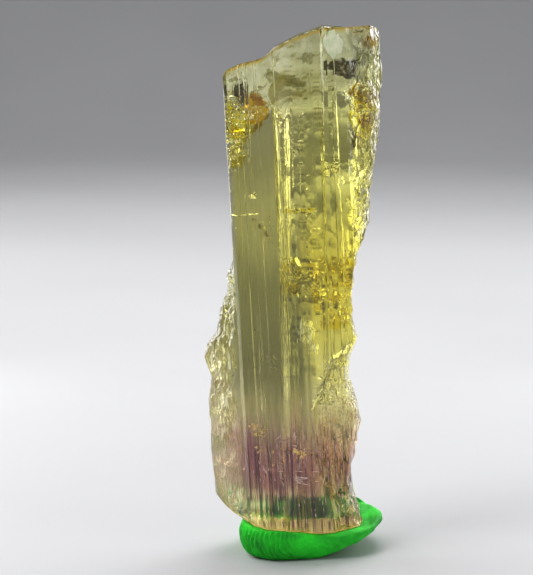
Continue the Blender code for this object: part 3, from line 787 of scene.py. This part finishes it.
def build_films():
    """The stained and smoky films inside the crystal, each point with its colour."""
    points, faces, colours = [], [], []
    for seed, (*values, colour) in enumerate(FILMS):
        more, added, shares = lens(*values, 2 * CRACK_GAP, 11.3 * seed)
        faces += moved_on(added, len(points))
        points += more
        colours += [(*colour, 1 - share ** 4) for share in shares]
    thing = new_object("films", points, faces)
    layer = thing.data.color_attributes.new("film", "FLOAT_COLOR", "POINT")
    layer.data.foreach_set("color", np.array(colours, dtype=np.float32).ravel())
    thing.data.shade_smooth()
    return stand(thing)


def flake(place, sizes, chance):
    """A flake or needle of another mineral."""
    size = chance.uniform(*sizes)
    reaches = [size * chance.uniform(0.5, 1.2) for _ in range(6)]
    return grain(place, any_way(chance), size * chance.uniform(0.6, 2.4), reaches)


def build_dark_grains():
    """Dark mineral grains scattered inside the crystal."""
    chance = random.Random(9)
    shapes = []
    for middle, wide, tall, count in DARK_GRAINS:
        for _ in range(count):
            place = scattered(middle, (wide, 0.6 * wide, tall), chance)
            if inside(place):
                shapes.append(flake(place, GRAIN_SIZES, chance))
    return stand(new_object("dark_grains", *gathered(shapes)))


def on_face(x, z):
    """The place on the front face at x and z."""
    return Vector((x, face_depth(FRONT_EDGES, x, z) + BREAK_SUNK * float(broken_share(x, z)), z))


def build_fibres(name, fans):
    """Fans of fibres in the pits of the front face."""
    chance = random.Random(11)
    shapes = []
    for (x, z), (wide, tall), (across, rise), wander, length, count in fans:
        for _ in range(count):
            way = Vector((across + chance.gauss(0, wander), 0, rise + chance.gauss(0, wander))).normalized()
            reach = FIBRE_THICKNESS * chance.uniform(0.5, 1.2)
            half = length * chance.uniform(0.2, 0.5)
            place = on_face(chance.gauss(x, wide), chance.gauss(z, tall))
            low = base_height(place.x, place.y) + FIBRE_FOOT
            right = min(RIGHT_EDGE, curve(RIGHT_FLANK, place.z)) - FIBRE_RIGHT
            if LEFT_EDGE + FIBRE_LEFT < place.x < right and place.z > low:
                shapes.append(grain(place, way, half, [reach] * 6))
    return stand(new_object(name, *gathered(shapes)))


def build_pale_patch():
    """A pale patch on the front of the top."""
    (x, z), *values = PALE_PATCH
    place = on_face(x, z) - Vector((0, PATCH_RISE, 0))
    points, faces, _ = lens(place, *values, 4 * CRACK_GAP, 2.9, PATCH_CRINKLE)
    thing = new_object("pale_patch", points, faces)
    thing.data.shade_smooth()
    return stand(thing)


def build_ochre_flecks():
    """Ochre flecks in the pits of the front face."""
    chance = random.Random(10)
    shapes = []
    for (x, z), (wide, tall), count in OCHRE_FLECKS:
        for _ in range(count):
            place = on_face(chance.gauss(x, wide), chance.gauss(z, tall)) + Vector((0, FLECK_DEPTH, 0))
            shapes.append(flake(place, FLECK_SIZES, chance))
    return stand(new_object("ochre_flecks", *gathered(shapes)))


def smooth_loop(points, count):
    """A closed curve through the points (Catmull-Rom), as evenly counted points."""
    corners = np.array(points)
    found = []
    for share in np.arange(count) * len(corners) / count:
        i, t = int(share), share % 1
        before, start, end, after = (corners[(i + k) % len(corners)] for k in (-1, 0, 1, 2))
        bend = 2 * before - 5 * start + 4 * end - after
        rest = 3 * (start - end) + after - before
        found.append(start + 0.5 * (t * (end - before) + t * t * bend + t ** 3 * rest))
    return np.array(found)


def seat_height(x, y):
    """Height above the table of the dent that the crystal's leaning base leaves in the putty."""
    right, deep = SEAT_REACH
    inner_x, inner_y = np.minimum(x, right), np.clip(y, -deep, deep)
    outside = np.hypot(x - inner_x, y - inner_y)
    under = base_height(inner_x + SEAT_HEIGHT * math.sin(LEAN), inner_y)
    rests = SEAT_HEIGHT + inner_x * math.sin(LEAN) + under * math.cos(LEAN)
    return rests - SEAT_GAP + SEAT_RISE * outside + (SEAT_WALL - SEAT_RISE) * np.maximum(y - deep, 0)


def putty_relief(at, spread):
    """The putty's lumps and its fingerprint: how far they stand out at a place in this direction."""
    lumps = sum(height * noise.noise(at / size + Vector((seed, 0, 0))) for size, height, seed in PUTTY_LUMPS)
    off = (spread - PRINT_TURN + math.pi) % (2 * math.pi) - math.pi
    near = max(0.0, 1 - (off / PRINT_REACH) ** 2)
    swirl = PRINT_RADIUS * spread + 0.25 * at.z + 0.4 * noise.noise(at / 1.8)
    return lumps + PRINT_HEIGHT * near * math.sin(2 * math.pi * swirl / PRINT_SPACING)


def build_putty():
    """A ball of putty pressed into a pat: flat foot, rounded side, and a dented top."""
    model = bmesh.new()
    bmesh.ops.create_uvsphere(model, u_segments=PAT_POINTS, v_segments=PAT_RINGS, radius=1)
    rim = smooth_loop(PAT_OUTLINE, PAT_POINTS)
    for vert in model.verts:
        turn = math.atan2(vert.co.y, vert.co.x) / (2 * math.pi) * PAT_POINTS
        rise = math.degrees(math.asin(max(-1.0, min(1.0, vert.co.z)))) / 90
        flat = max(0.0, (abs(rise) - SIDE_SHARE) / (1 - SIDE_SHARE))
        bend = math.pi / 2 * min(1.0, abs(rise) / SIDE_SHARE)
        reach = FOOT_SHARE * (1 - flat) if flat else FOOT_SHARE + (1 - FOOT_SHARE) * math.cos(bend)
        x, y = np.array(PAT_CENTRE) + (rim[round(turn) % PAT_POINTS] - PAT_CENTRE) * reach
        behind = fraction((y - BACK_START) / (BACK_END - BACK_START))
        half = (curve(PAT_THICKNESS, x) + curve(BACK_RISE, x) * behind) / 2
        lift = fraction((x - LIFT_START) / (LIFT_END - LIFT_START))
        height = half + math.copysign(half * math.sin(bend), rise) + PAT_LIFT * lift ** LIFT_BEND
        free = 1.0
        if rise > 0:
            dent = seat_height(x, y) + DENT_RELIEF * noise.noise(Vector((x, y, 0)) / DENT_SIZE)
            free = float(fraction((dent - height) / CALM_EDGE))
            blend = max(0.0, 1 - abs(height - dent) / DENT_BLEND)
            height = min(height, dent) - DENT_BLEND / 4 * blend * blend
        spread = math.atan2(y - PAT_CENTRE[1], x - PAT_CENTRE[0])
        level, steep = math.cos(bend), math.copysign(math.sin(bend), rise)
        out = Vector((level * math.cos(spread), level * math.sin(spread), steep))
        at = Vector((x, y, height))
        relief = putty_relief(at, spread) - PUTTY_INSET
        vert.co = at + out * relief * free * min(1.0, height / CALM_EDGE)
    mesh = bpy.data.meshes.new("putty")
    model.to_mesh(mesh)
    model.free()
    mesh.transform(Matrix.Translation(Vector((*PLACE, 0)) * MM) @ Matrix.Scale(MM, 4))
    mesh.shade_smooth()
    return linked("putty", mesh)


# --------------------------------------
# Materials


class Nodes:
    """A material's node tree, with short ways to add nodes and links."""

    def __init__(self, name):
        self.material = bpy.data.materials.new(name)
        self.material.use_nodes = True
        self.tree = self.material.node_tree

    def feed(self, socket, value):
        """Link another node's output to an input, or set the input's own value."""
        if isinstance(value, bpy.types.NodeSocket):
            self.tree.links.new(value, socket)
        else:
            socket.default_value = value

    def add(self, kind, inputs=(), **settings):
        node = self.tree.nodes.new(kind)
        for key, value in settings.items():
            setattr(node, key, value)
        for key, value in dict(inputs).items():
            self.feed(node.inputs[key], value)
        return node

    def math(self, operation, a, b=0.0, clamp=False):
        return self.add("ShaderNodeMath", {0: a, 1: b}, operation=operation, use_clamp=clamp).outputs[0]

    def plus(self, a, b, clamp=False):
        return self.math("ADD", a, b, clamp)

    def minus(self, a, b, clamp=False):
        return self.math("SUBTRACT", a, b, clamp)

    def times(self, a, b, clamp=False):
        return self.math("MULTIPLY", a, b, clamp)

    def share(self, value, run):
        """How far along this run the value is, held between 0 and 1."""
        return self.math("DIVIDE", value, run, clamp=True)

    def noise(self, vector, scale, detail, roughness=0.5):
        inputs = {"Vector": vector, "Scale": scale, "Detail": detail, "Roughness": roughness}
        return self.add("ShaderNodeTexNoise", inputs).outputs["Fac"]

    def ramp(self, factor, stops):
        node = self.add("ShaderNodeValToRGB", {"Fac": factor})
        elements = node.color_ramp.elements
        while len(elements) < len(stops):
            elements.new(0.5)
        for element, (place, colour) in zip(elements, stops):
            element.position = place
            element.color = (*colour, 1)
        return node.outputs["Color"]

    def mix(self, factor, a, b, blend="MIX"):
        inputs = {0: factor, 6: a, 7: b}
        return self.add("ShaderNodeMix", inputs, data_type="RGBA", blend_type=blend).outputs[2]

    def tinted(self, factor, colour, tint):
        """The colour, multiplied by the tint where the factor is 1."""
        return self.mix(factor, colour, self.mix(1.0, colour, tint, "MULTIPLY"))

    def finish(self, looks, height=None, depth=1.0):
        """Give the shader these looks and, where there is one, a relief this many millimetres deep."""
        shader = self.tree.nodes["Principled BSDF"]
        for key, value in looks.items():
            self.feed(shader.inputs[key], value)
        if height is not None:
            bump = self.add("ShaderNodeBump", {"Height": height, "Distance": depth * MM, "Strength": 1.0})
            self.feed(shader.inputs["Normal"], bump.outputs[0])
        return self.material


def grey(value):
    return (value, value, value)


def object_place(nodes):
    return nodes.add("ShaderNodeTexCoord").outputs["Object"]


def crystal_frame(nodes):
    """Texture coordinates in the crystal's own frame, in millimetres."""
    stands = Vector((*PLACE, SEAT_HEIGHT)) * MM
    moved = nodes.add("ShaderNodeVectorMath", {0: object_place(nodes), 1: stands}, operation="SUBTRACT")
    turned = {"Vector": moved.outputs[0], "Angle": LEAN}
    upright = nodes.add("ShaderNodeVectorRotate", turned, rotation_type="Y_AXIS").outputs[0]
    return nodes.add("ShaderNodeVectorMath", {0: upright, "Scale": 1 / MM}, operation="SCALE").outputs[0]


def stretched(nodes, vector, scale):
    return nodes.add("ShaderNodeVectorMath", {0: vector, 1: scale}, operation="MULTIPLY").outputs[0]


def wander(nodes, own, scale, reach, detail=3):
    """Noise from about -reach to reach, with this many features per millimetre along each axis."""
    found = nodes.noise(stretched(nodes, own, scale), 1.0, detail)
    return nodes.times(nodes.minus(found, 0.5), 2 * reach)


# The crystal's colours up its height in millimetres, on its left and on its right.
LEFT_ZONES = (
    (0.0, (0.44, 0.3, 0.19)), (2.0, (0.5, 0.36, 0.23)), (3.2, (0.54, 0.38, 0.25)),
    (4.2, (0.52, 0.3, 0.25)), (5.4, (0.42, 0.16, 0.19)), (8.4, (0.38, 0.13, 0.19)),
    (10.0, (0.5, 0.33, 0.25)), (12.5, (0.4, 0.36, 0.16)), (17.0, (0.17, 0.165, 0.055)),
    (26.0, (0.25, 0.245, 0.075)), (32.0, (0.52, 0.5, 0.17)), (38.0, (0.86, 0.83, 0.34)),
    (45.0, (0.96, 0.95, 0.58)), (52.0, (0.9, 0.93, 0.84)),
)
RIGHT_ZONES = (
    (0.0, (0.42, 0.28, 0.16)), (2.0, (0.48, 0.34, 0.18)), (3.2, (0.54, 0.38, 0.2)),
    (4.4, (0.6, 0.42, 0.22)), (5.6, (0.66, 0.36, 0.18)), (8.5, (0.74, 0.42, 0.26)),
    (11.0, (0.9, 0.76, 0.42)), (14.0, (0.94, 0.9, 0.46)), (19.0, (0.84, 0.78, 0.18)),
    (27.0, (0.8, 0.69, 0.06)), (36.0, (0.94, 0.92, 0.27)), (45.0, (0.9, 0.9, 0.45)),
    (52.0, (0.84, 0.87, 0.76)),
)
ZONE_TOP = 52.0
# Where the left flank's colour and the right flank's painted shade set in, where the mauve zone's streaks
# end, and where the pale panes are.
LEFT_FLANK_FROM, RIGHT_SHADE_FROM, RIGHT_SHADE_RUN = -6.2, 5.6, 1.4
MAUVE_TOP, MAUVE_RUN = 14.0, 5.0
PALE_MIDDLE, PALE_REACH = 3.0, 1.2
WHITE = (1, 1, 1, 1)
# The stain colour along the top rim paints a golden edge highlight as well as stain.
FLANK_COLOUR, PANE_COLOUR, STAIN_AND_HIGHLIGHT_COLOUR = (0.92, 0.88, 0.72, 1), (0.88, 0.92, 0.5, 1), (0.62, 0.46, 0.08, 1)
# Tints of the crinkled left flank, of the right flank, where a darker tint is painted shade, and of the
# scars on the right.
CRINKLED_TINT, RIGHT_FLANK_PAINTED_SHADE, SCAR_TINT = (0.6, 0.6, 0.5, 1), (0.48, 0.48, 0.38, 1), (0.76, 0.76, 0.62, 1)
STREAKS = ((0.37, (0.09, 0.05, 0.08)), (0.51, (1, 1, 1)))
CLOUD = ((0.2, (0.26, 0.26, 0.13)), (0.8, (0.62, 0.66, 0.5)))
# Growth steps on the front window: the stretch of x they are in, and (place, height) of each.
GROWTH_LEFT, GROWTH_RIGHT = -6.6, 5.8
GROWTH_LINES = (
    (-5.5, 0.6), (-4.92, 1.6), (-4.38, 1.8), (-4.12, 1.4), (-3.4, 0.9),
    (-3.15, 0.6), (-1.42, 1.0), (-1.2, 0.6), (2.1, 0.5), (4.6, 0.7),
)
# How deep the fine grooves along the crystal are up its height, and at least on its right.
GROOVED = ((4, 1.0), (9, 0.9), (14, 0.3), (24, 0.06), (45, 0.04))
RIGHT_GROOVED = 0.15


def crystal_colour(nodes, own, x, z, scar, flank, below):
    """Colour zones frayed along the growth lines, with the flanks', streaks', panes' and scars' colours, and
    painted shade on the right flank.
    """
    broad, narrow = wander(nodes, own, (0.45, 0.45, 0.18), 4.0), wander(nodes, own, (3.2, 3.2, 0.2), 4.0)
    zone = nodes.share(nodes.plus(z, nodes.plus(broad, narrow)), ZONE_TOP)
    left, right = (
        nodes.ramp(zone, [(height / ZONE_TOP, colour) for height, colour in zones])
        for zones in (LEFT_ZONES, RIGHT_ZONES)
    )
    side = nodes.plus(nodes.times(x, 0.6), wander(nodes, own, (1.2, 1.2, 0.1), 0.8), clamp=True)
    colour = nodes.mix(nodes.times(flank, 0.75), nodes.mix(side, left, right), FLANK_COLOUR)
    colour = nodes.tinted(nodes.times(flank, nodes.minus(1.0, below)), colour, CRINKLED_TINT)
    # Painted shade: the right flank's colour is darkened, which dims its glints.
    right_flank_shade = nodes.share(nodes.minus(x, RIGHT_SHADE_FROM), RIGHT_SHADE_RUN)
    colour = nodes.tinted(right_flank_shade, colour, RIGHT_FLANK_PAINTED_SHADE)

    inner = nodes.minus(1.0, flank)
    low = nodes.times(nodes.share(nodes.minus(MAUVE_TOP, z), MAUVE_RUN), inner)
    streaks = nodes.ramp(nodes.plus(wander(nodes, own, (5.0, 5.0, 0.12), 1.6), 0.5), STREAKS)
    colour = nodes.tinted(low, colour, streaks)
    pale = nodes.math("DIVIDE", nodes.math("ABSOLUTE", nodes.minus(z, PALE_MIDDLE)), PALE_REACH)
    pale = nodes.times(nodes.minus(1.0, pale, clamp=True), 2.0, clamp=True)
    panes = nodes.times(nodes.plus(wander(nodes, own, (0.42, 0.0, 0.05), 3.0, 1), 0.35), 3.0, clamp=True)
    colour = nodes.mix(nodes.times(pale, nodes.times(panes, inner)), colour, PANE_COLOUR)

    cloud = nodes.ramp(nodes.plus(wander(nodes, own, (0.7, 0.7, 0.7), 1.6), 0.5), CLOUD)
    return nodes.mix(nodes.times(scar, 0.9), colour, nodes.tinted(side, cloud, SCAR_TINT))


def facets(nodes, own, scale, depth):
    """Small shell-shaped facets of this depth, with this many per millimetre along each axis."""
    inputs = {"Vector": stretched(nodes, own, scale), "Scale": 1.0}
    cells = nodes.add("ShaderNodeTexVoronoi", inputs, feature="F1")
    return nodes.times(nodes.math("POWER", cells.outputs["Distance"], 2.0), depth)


def growth_steps(nodes, own, x, y):
    """Growth steps on the front, which come and go along the crystal."""
    span = GROWTH_RIGHT - GROWTH_LEFT
    steps = [(0.0, grey(0.0))]
    for place, height in GROWTH_LINES:
        middle = (place - GROWTH_LEFT) / span
        steps += [(middle - 0.006, grey(0.0)), (middle, grey(height)), (middle + 0.004, grey(0.0))]
    across = nodes.share(nodes.minus(x, GROWTH_LEFT), span)
    fade = nodes.times(nodes.plus(wander(nodes, own, (2.0, 2.0, 0.07), 2.5), 0.7, clamp=True), 0.06)
    return nodes.times(nodes.ramp(across, steps), nodes.times(fade, nodes.math("LESS_THAN", y, 0.0)))


def fine_grooves(nodes, own, x, z):
    stops = [(height / ZONE_TOP, grey(value)) for height, value in GROOVED]
    right = nodes.times(nodes.math("GREATER_THAN", x, -0.8), RIGHT_GROOVED)
    grooved = nodes.math("MAXIMUM", nodes.ramp(nodes.share(z, ZONE_TOP), stops), right)
    return nodes.times(grooved, wander(nodes, own, (11.0, 11.0, 0.06), 0.024))


def crystal_material():
    nodes = Nodes("tourmaline")
    own = crystal_frame(nodes)
    apart = nodes.add("ShaderNodeSeparateXYZ", {0: own})
    x, y, z = (apart.outputs[axis] for axis in "XYZ")
    worn, scar, stain_and_highlight = (
        nodes.add("ShaderNodeAttribute", attribute_name=name).outputs["Fac"]
        for name in ("worn", "scar", "stain_and_highlight")
    )
    outer = nodes.math("GREATER_THAN", worn, HOLLOW / 2)
    worn = nodes.math("MAXIMUM", worn, 0.0)
    flank = nodes.share(nodes.minus(LEFT_FLANK_FROM, x), 1.0)
    below = nodes.share(nodes.minus(CALM_TOP, z), CALM_RUN)

    colour = crystal_colour(nodes, own, x, z, scar, flank, below)
    # Stain, and along the top rim a painted golden edge highlight.
    colour = nodes.mix(outer, WHITE, nodes.mix(stain_and_highlight, colour, STAIN_AND_HIGHLIGHT_COLOUR))

    # Small shell-shaped facets where the surface is broken, growth lines along the faces where it is not.
    large, small = facets(nodes, own, (1.5, 1.5, 0.9), 0.26), facets(nodes, own, (3.7, 3.7, 2.4), 0.055)
    calm = nodes.times(nodes.times(below, flank), LEFT_CALM)
    height = nodes.times(worn, nodes.times(nodes.plus(large, small), nodes.minus(1.0, calm)))
    frost = nodes.times(scar, wander(nodes, own, (1.1, 1.1, 1.1), 0.07, 1))
    for part in (frost, growth_steps(nodes, own, x, y), fine_grooves(nodes, own, x, z)):
        height = nodes.plus(height, part)

    rough = nodes.plus(nodes.times(worn, 0.03), nodes.times(scar, 0.3))
    rough = nodes.plus(rough, nodes.times(stain_and_highlight, 0.1))
    volume = nodes.add("ShaderNodeVolumeAbsorption", {"Color": (0.82, 0.8, 0.5, 1), "Density": 120.0})
    nodes.feed(nodes.tree.nodes["Material Output"].inputs["Volume"], volume.outputs[0])
    looks = {"Base Color": colour, "Roughness": rough, "Transmission Weight": 1.0, "IOR": 1.63}
    return nodes.finish(looks, nodes.times(height, outer))


def film_material():
    """Patchy stain with ragged edges. Its points hold its colour, and 1 in its middle to 0 at its rim."""
    nodes = Nodes("iron_stain")
    own = crystal_frame(nodes)
    film = nodes.add("ShaderNodeAttribute", attribute_name="film")
    patchy = nodes.noise(own, 2.2, 5)
    cover = nodes.ramp(patchy, ((0.34, grey(0.45)), (0.46, grey(1))))
    ragged = nodes.times(nodes.minus(nodes.noise(own, 1.3, 5), 0.5), 2.2)
    edge = nodes.minus(nodes.plus(film.outputs["Alpha"], ragged), 0.4)
    cover = nodes.times(cover, nodes.times(edge, 5.0, clamp=True))
    colour = nodes.mix(cover, WHITE, film.outputs["Color"])
    looks = {"Base Color": colour, "Roughness": 0.1, "Transmission Weight": 1.0, "IOR": 1.02}
    return nodes.finish(looks, patchy, 0.1)


# The darkest and the lightest colour of each dull piece in or on the crystal.
DULL_COLOURS = {
    "dark_grains": ((0.012, 0.01, 0.006), (0.05, 0.03, 0.012)),
    "ochre_flecks": ((0.86, 0.48, 0.07), (0.97, 0.8, 0.4)),
    # Partly painted highlight: the upright pale fibres stand in for bright streaks.
    "pale_fibres_and_painted_streaks": ((0.66, 0.44, 0.42), (0.92, 0.8, 0.74)),
    # Painted glint: these fibres' bright colour stands in for the shine beside the cracks.
    "fibres_with_painted_glint": ((0.86, 0.8, 0.32), (1, 1, 0.56)),
    "pale_patch": ((0.74, 0.82, 0.48), (1, 1, 0.7)),
}


def dull_material(name, scale=6.0, detail=3):
    nodes = Nodes(name)
    dark, light = DULL_COLOURS[name]
    colour = nodes.ramp(nodes.noise(crystal_frame(nodes), scale, detail), ((0.35, dark), (0.65, light)))
    return nodes.finish({"Base Color": colour, "Roughness": 0.5})


def putty_material():
    nodes = Nodes("green_putty")
    place = object_place(nodes)
    fuzz = nodes.noise(place, 3200.0, 6, 0.7)
    greens = ((0.35, (0.006, 0.36, 0.012)), (0.65, (0.018, 0.8, 0.024)))
    colour = nodes.ramp(nodes.noise(place, 420.0, 4), greens)
    return nodes.finish({"Base Color": colour, "Roughness": 0.6, "Specular IOR Level": 0.3}, fuzz, 0.26)


def floor_material():
    nodes = Nodes("pale_floor")
    greys = ((0.3, (0.38, 0.38, 0.39)), (0.7, (0.41, 0.41, 0.42)))
    colour = nodes.ramp(nodes.noise(object_place(nodes), 12.0, 3), greys)
    return nodes.finish({"Base Color": colour, "Roughness": 0.45})


# --------------------------------------
# Stage, light and camera


def build_floor():
    """A floor that curves up into a backdrop behind the object."""
    width, front, bend, radius, height = 1.6, -0.9, 0.45, 0.25, 0.9
    profile = [(front, 0.0), (bend, 0.0)]
    for turn in np.linspace(0, math.pi / 2, 17)[1:]:
        profile.append((bend + radius * math.sin(turn), radius - radius * math.cos(turn)))
    profile.append((bend + radius, height))
    points, faces = [], []
    for i, (y, z) in enumerate(profile):
        points += [(-width, y, z), (width, y, z)]
        if i:
            faces.append((2 * i - 2, 2 * i - 1, 2 * i + 1, 2 * i))
    floor = new_object("floor", np.array(points) / MM, faces)
    floor.data.shade_smooth()
    floor.data.materials.append(floor_material())


# Area lights, in metres: (name, place, aim, size, power).
ON_CRYSTAL = (0, 0, 0.03)
LIGHTS = (
    ("key", (-0.3, -0.18, 0.5), ON_CRYSTAL, (0.24, 0.24), 2.1),
    ("fill", (0.35, -0.2, 0.16), ON_CRYSTAL, (0.1, 0.3), 0.35),
    ("rim", (-0.3, 0.1, 0.14), ON_CRYSTAL, (0.1, 0.25), 0.6),
    ("back", (0.1, 0.36, 0.4), (0, 0.1, 0.03), (0.3, 0.2), 0.7),
    ("top", (-0.02, 0.16, 0.5), ON_CRYSTAL, (0.5, 0.3), 0.4),
    ("spark_left", (-0.19, 0.22, 0.2), ON_CRYSTAL, (0.18, 0.18), 0.54),
    ("spark_right", (0.21, 0.2, 0.14), ON_CRYSTAL, (0.18, 0.18), 0.54),
    ("spark_high", (0.02, 0.14, 0.32), ON_CRYSTAL, (0.18, 0.18), 0.54),
    ("strip_left", (-0.068, 0.09, 0.045), (0, 0, 0.045), (0.024, 0.09), 0.02),
    ("strip_right", (0.062, 0.09, 0.045), (0, 0, 0.045), (0.016, 0.09), 0.01),
)
WORLD_COLOUR, WORLD_STRENGTH = (0.75, 0.77, 0.8, 1), 0.24


def build_lights():
    world = bpy.data.worlds.new("studio")
    world.use_nodes = True
    background = world.node_tree.nodes["Background"]
    background.inputs["Color"].default_value = WORLD_COLOUR
    background.inputs["Strength"].default_value = WORLD_STRENGTH
    bpy.context.scene.world = world
    for name, place, aim, size, power in LIGHTS:
        light = bpy.data.lights.new(name, "AREA")
        light.shape = "RECTANGLE"
        light.size, light.size_y = size
        light.energy = power
        thing = linked(name, light)
        thing.location = place
        thing.rotation_euler = (Vector(aim) - Vector(place)).to_track_quat("-Z", "Y").to_euler()


# Where the camera looks, how far away it stands, how high it looks from, and its focal length.
CAMERA_AIM = (-2.87, -0.39, 27.2)
CAMERA_DISTANCE = 220.0
CAMERA_ELEVATION = math.radians(8.5)
CAMERA_LENS = 134.3


def build_camera():
    camera = bpy.data.cameras.new("camera")
    camera.lens = CAMERA_LENS
    camera.clip_start = 0.01
    thing = linked("camera", camera)
    back = Vector((0, -math.cos(CAMERA_ELEVATION), math.sin(CAMERA_ELEVATION)))
    thing.location = (Vector(CAMERA_AIM) + CAMERA_DISTANCE * back) * MM
    thing.rotation_euler = (math.pi / 2 - CAMERA_ELEVATION, 0, 0)
    bpy.context.scene.camera = thing


def main():
    crystal = build_crystal()
    crystal.data.materials.append(crystal_material())
    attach(crystal, "root")
    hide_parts("tourmaline_crystal")

    for thing, material in (
        (build_films(), film_material()),
        (build_dark_grains(), dull_material("dark_grains")),
        (build_ochre_flecks(), dull_material("ochre_flecks")),
        (build_fibres("pale_fibres_and_painted_streaks", FIBRES_AND_PAINTED_STREAKS), dull_material("pale_fibres_and_painted_streaks")),
        (build_fibres("fibres_with_painted_glint", FIBRES_WITH_PAINTED_GLINT), dull_material("fibres_with_painted_glint")),
        (build_pale_patch(), dull_material("pale_patch", scale=1.5, detail=4)),
    ):
        thing.data.materials.append(material)
        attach(thing, "root")
        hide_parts("tourmaline_crystal")

    putty = build_putty()
    putty.data.materials.append(putty_material())
    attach(putty, "root")
    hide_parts("display_putty")

    build_floor()
    build_lights()
    build_camera()
    scene = bpy.context.scene
    scene.view_settings.view_transform = "Standard"
    scene.cycles.max_bounces = 24
    scene.cycles.transmission_bounces = 24
    scene.cycles.glossy_bounces = 16


main()
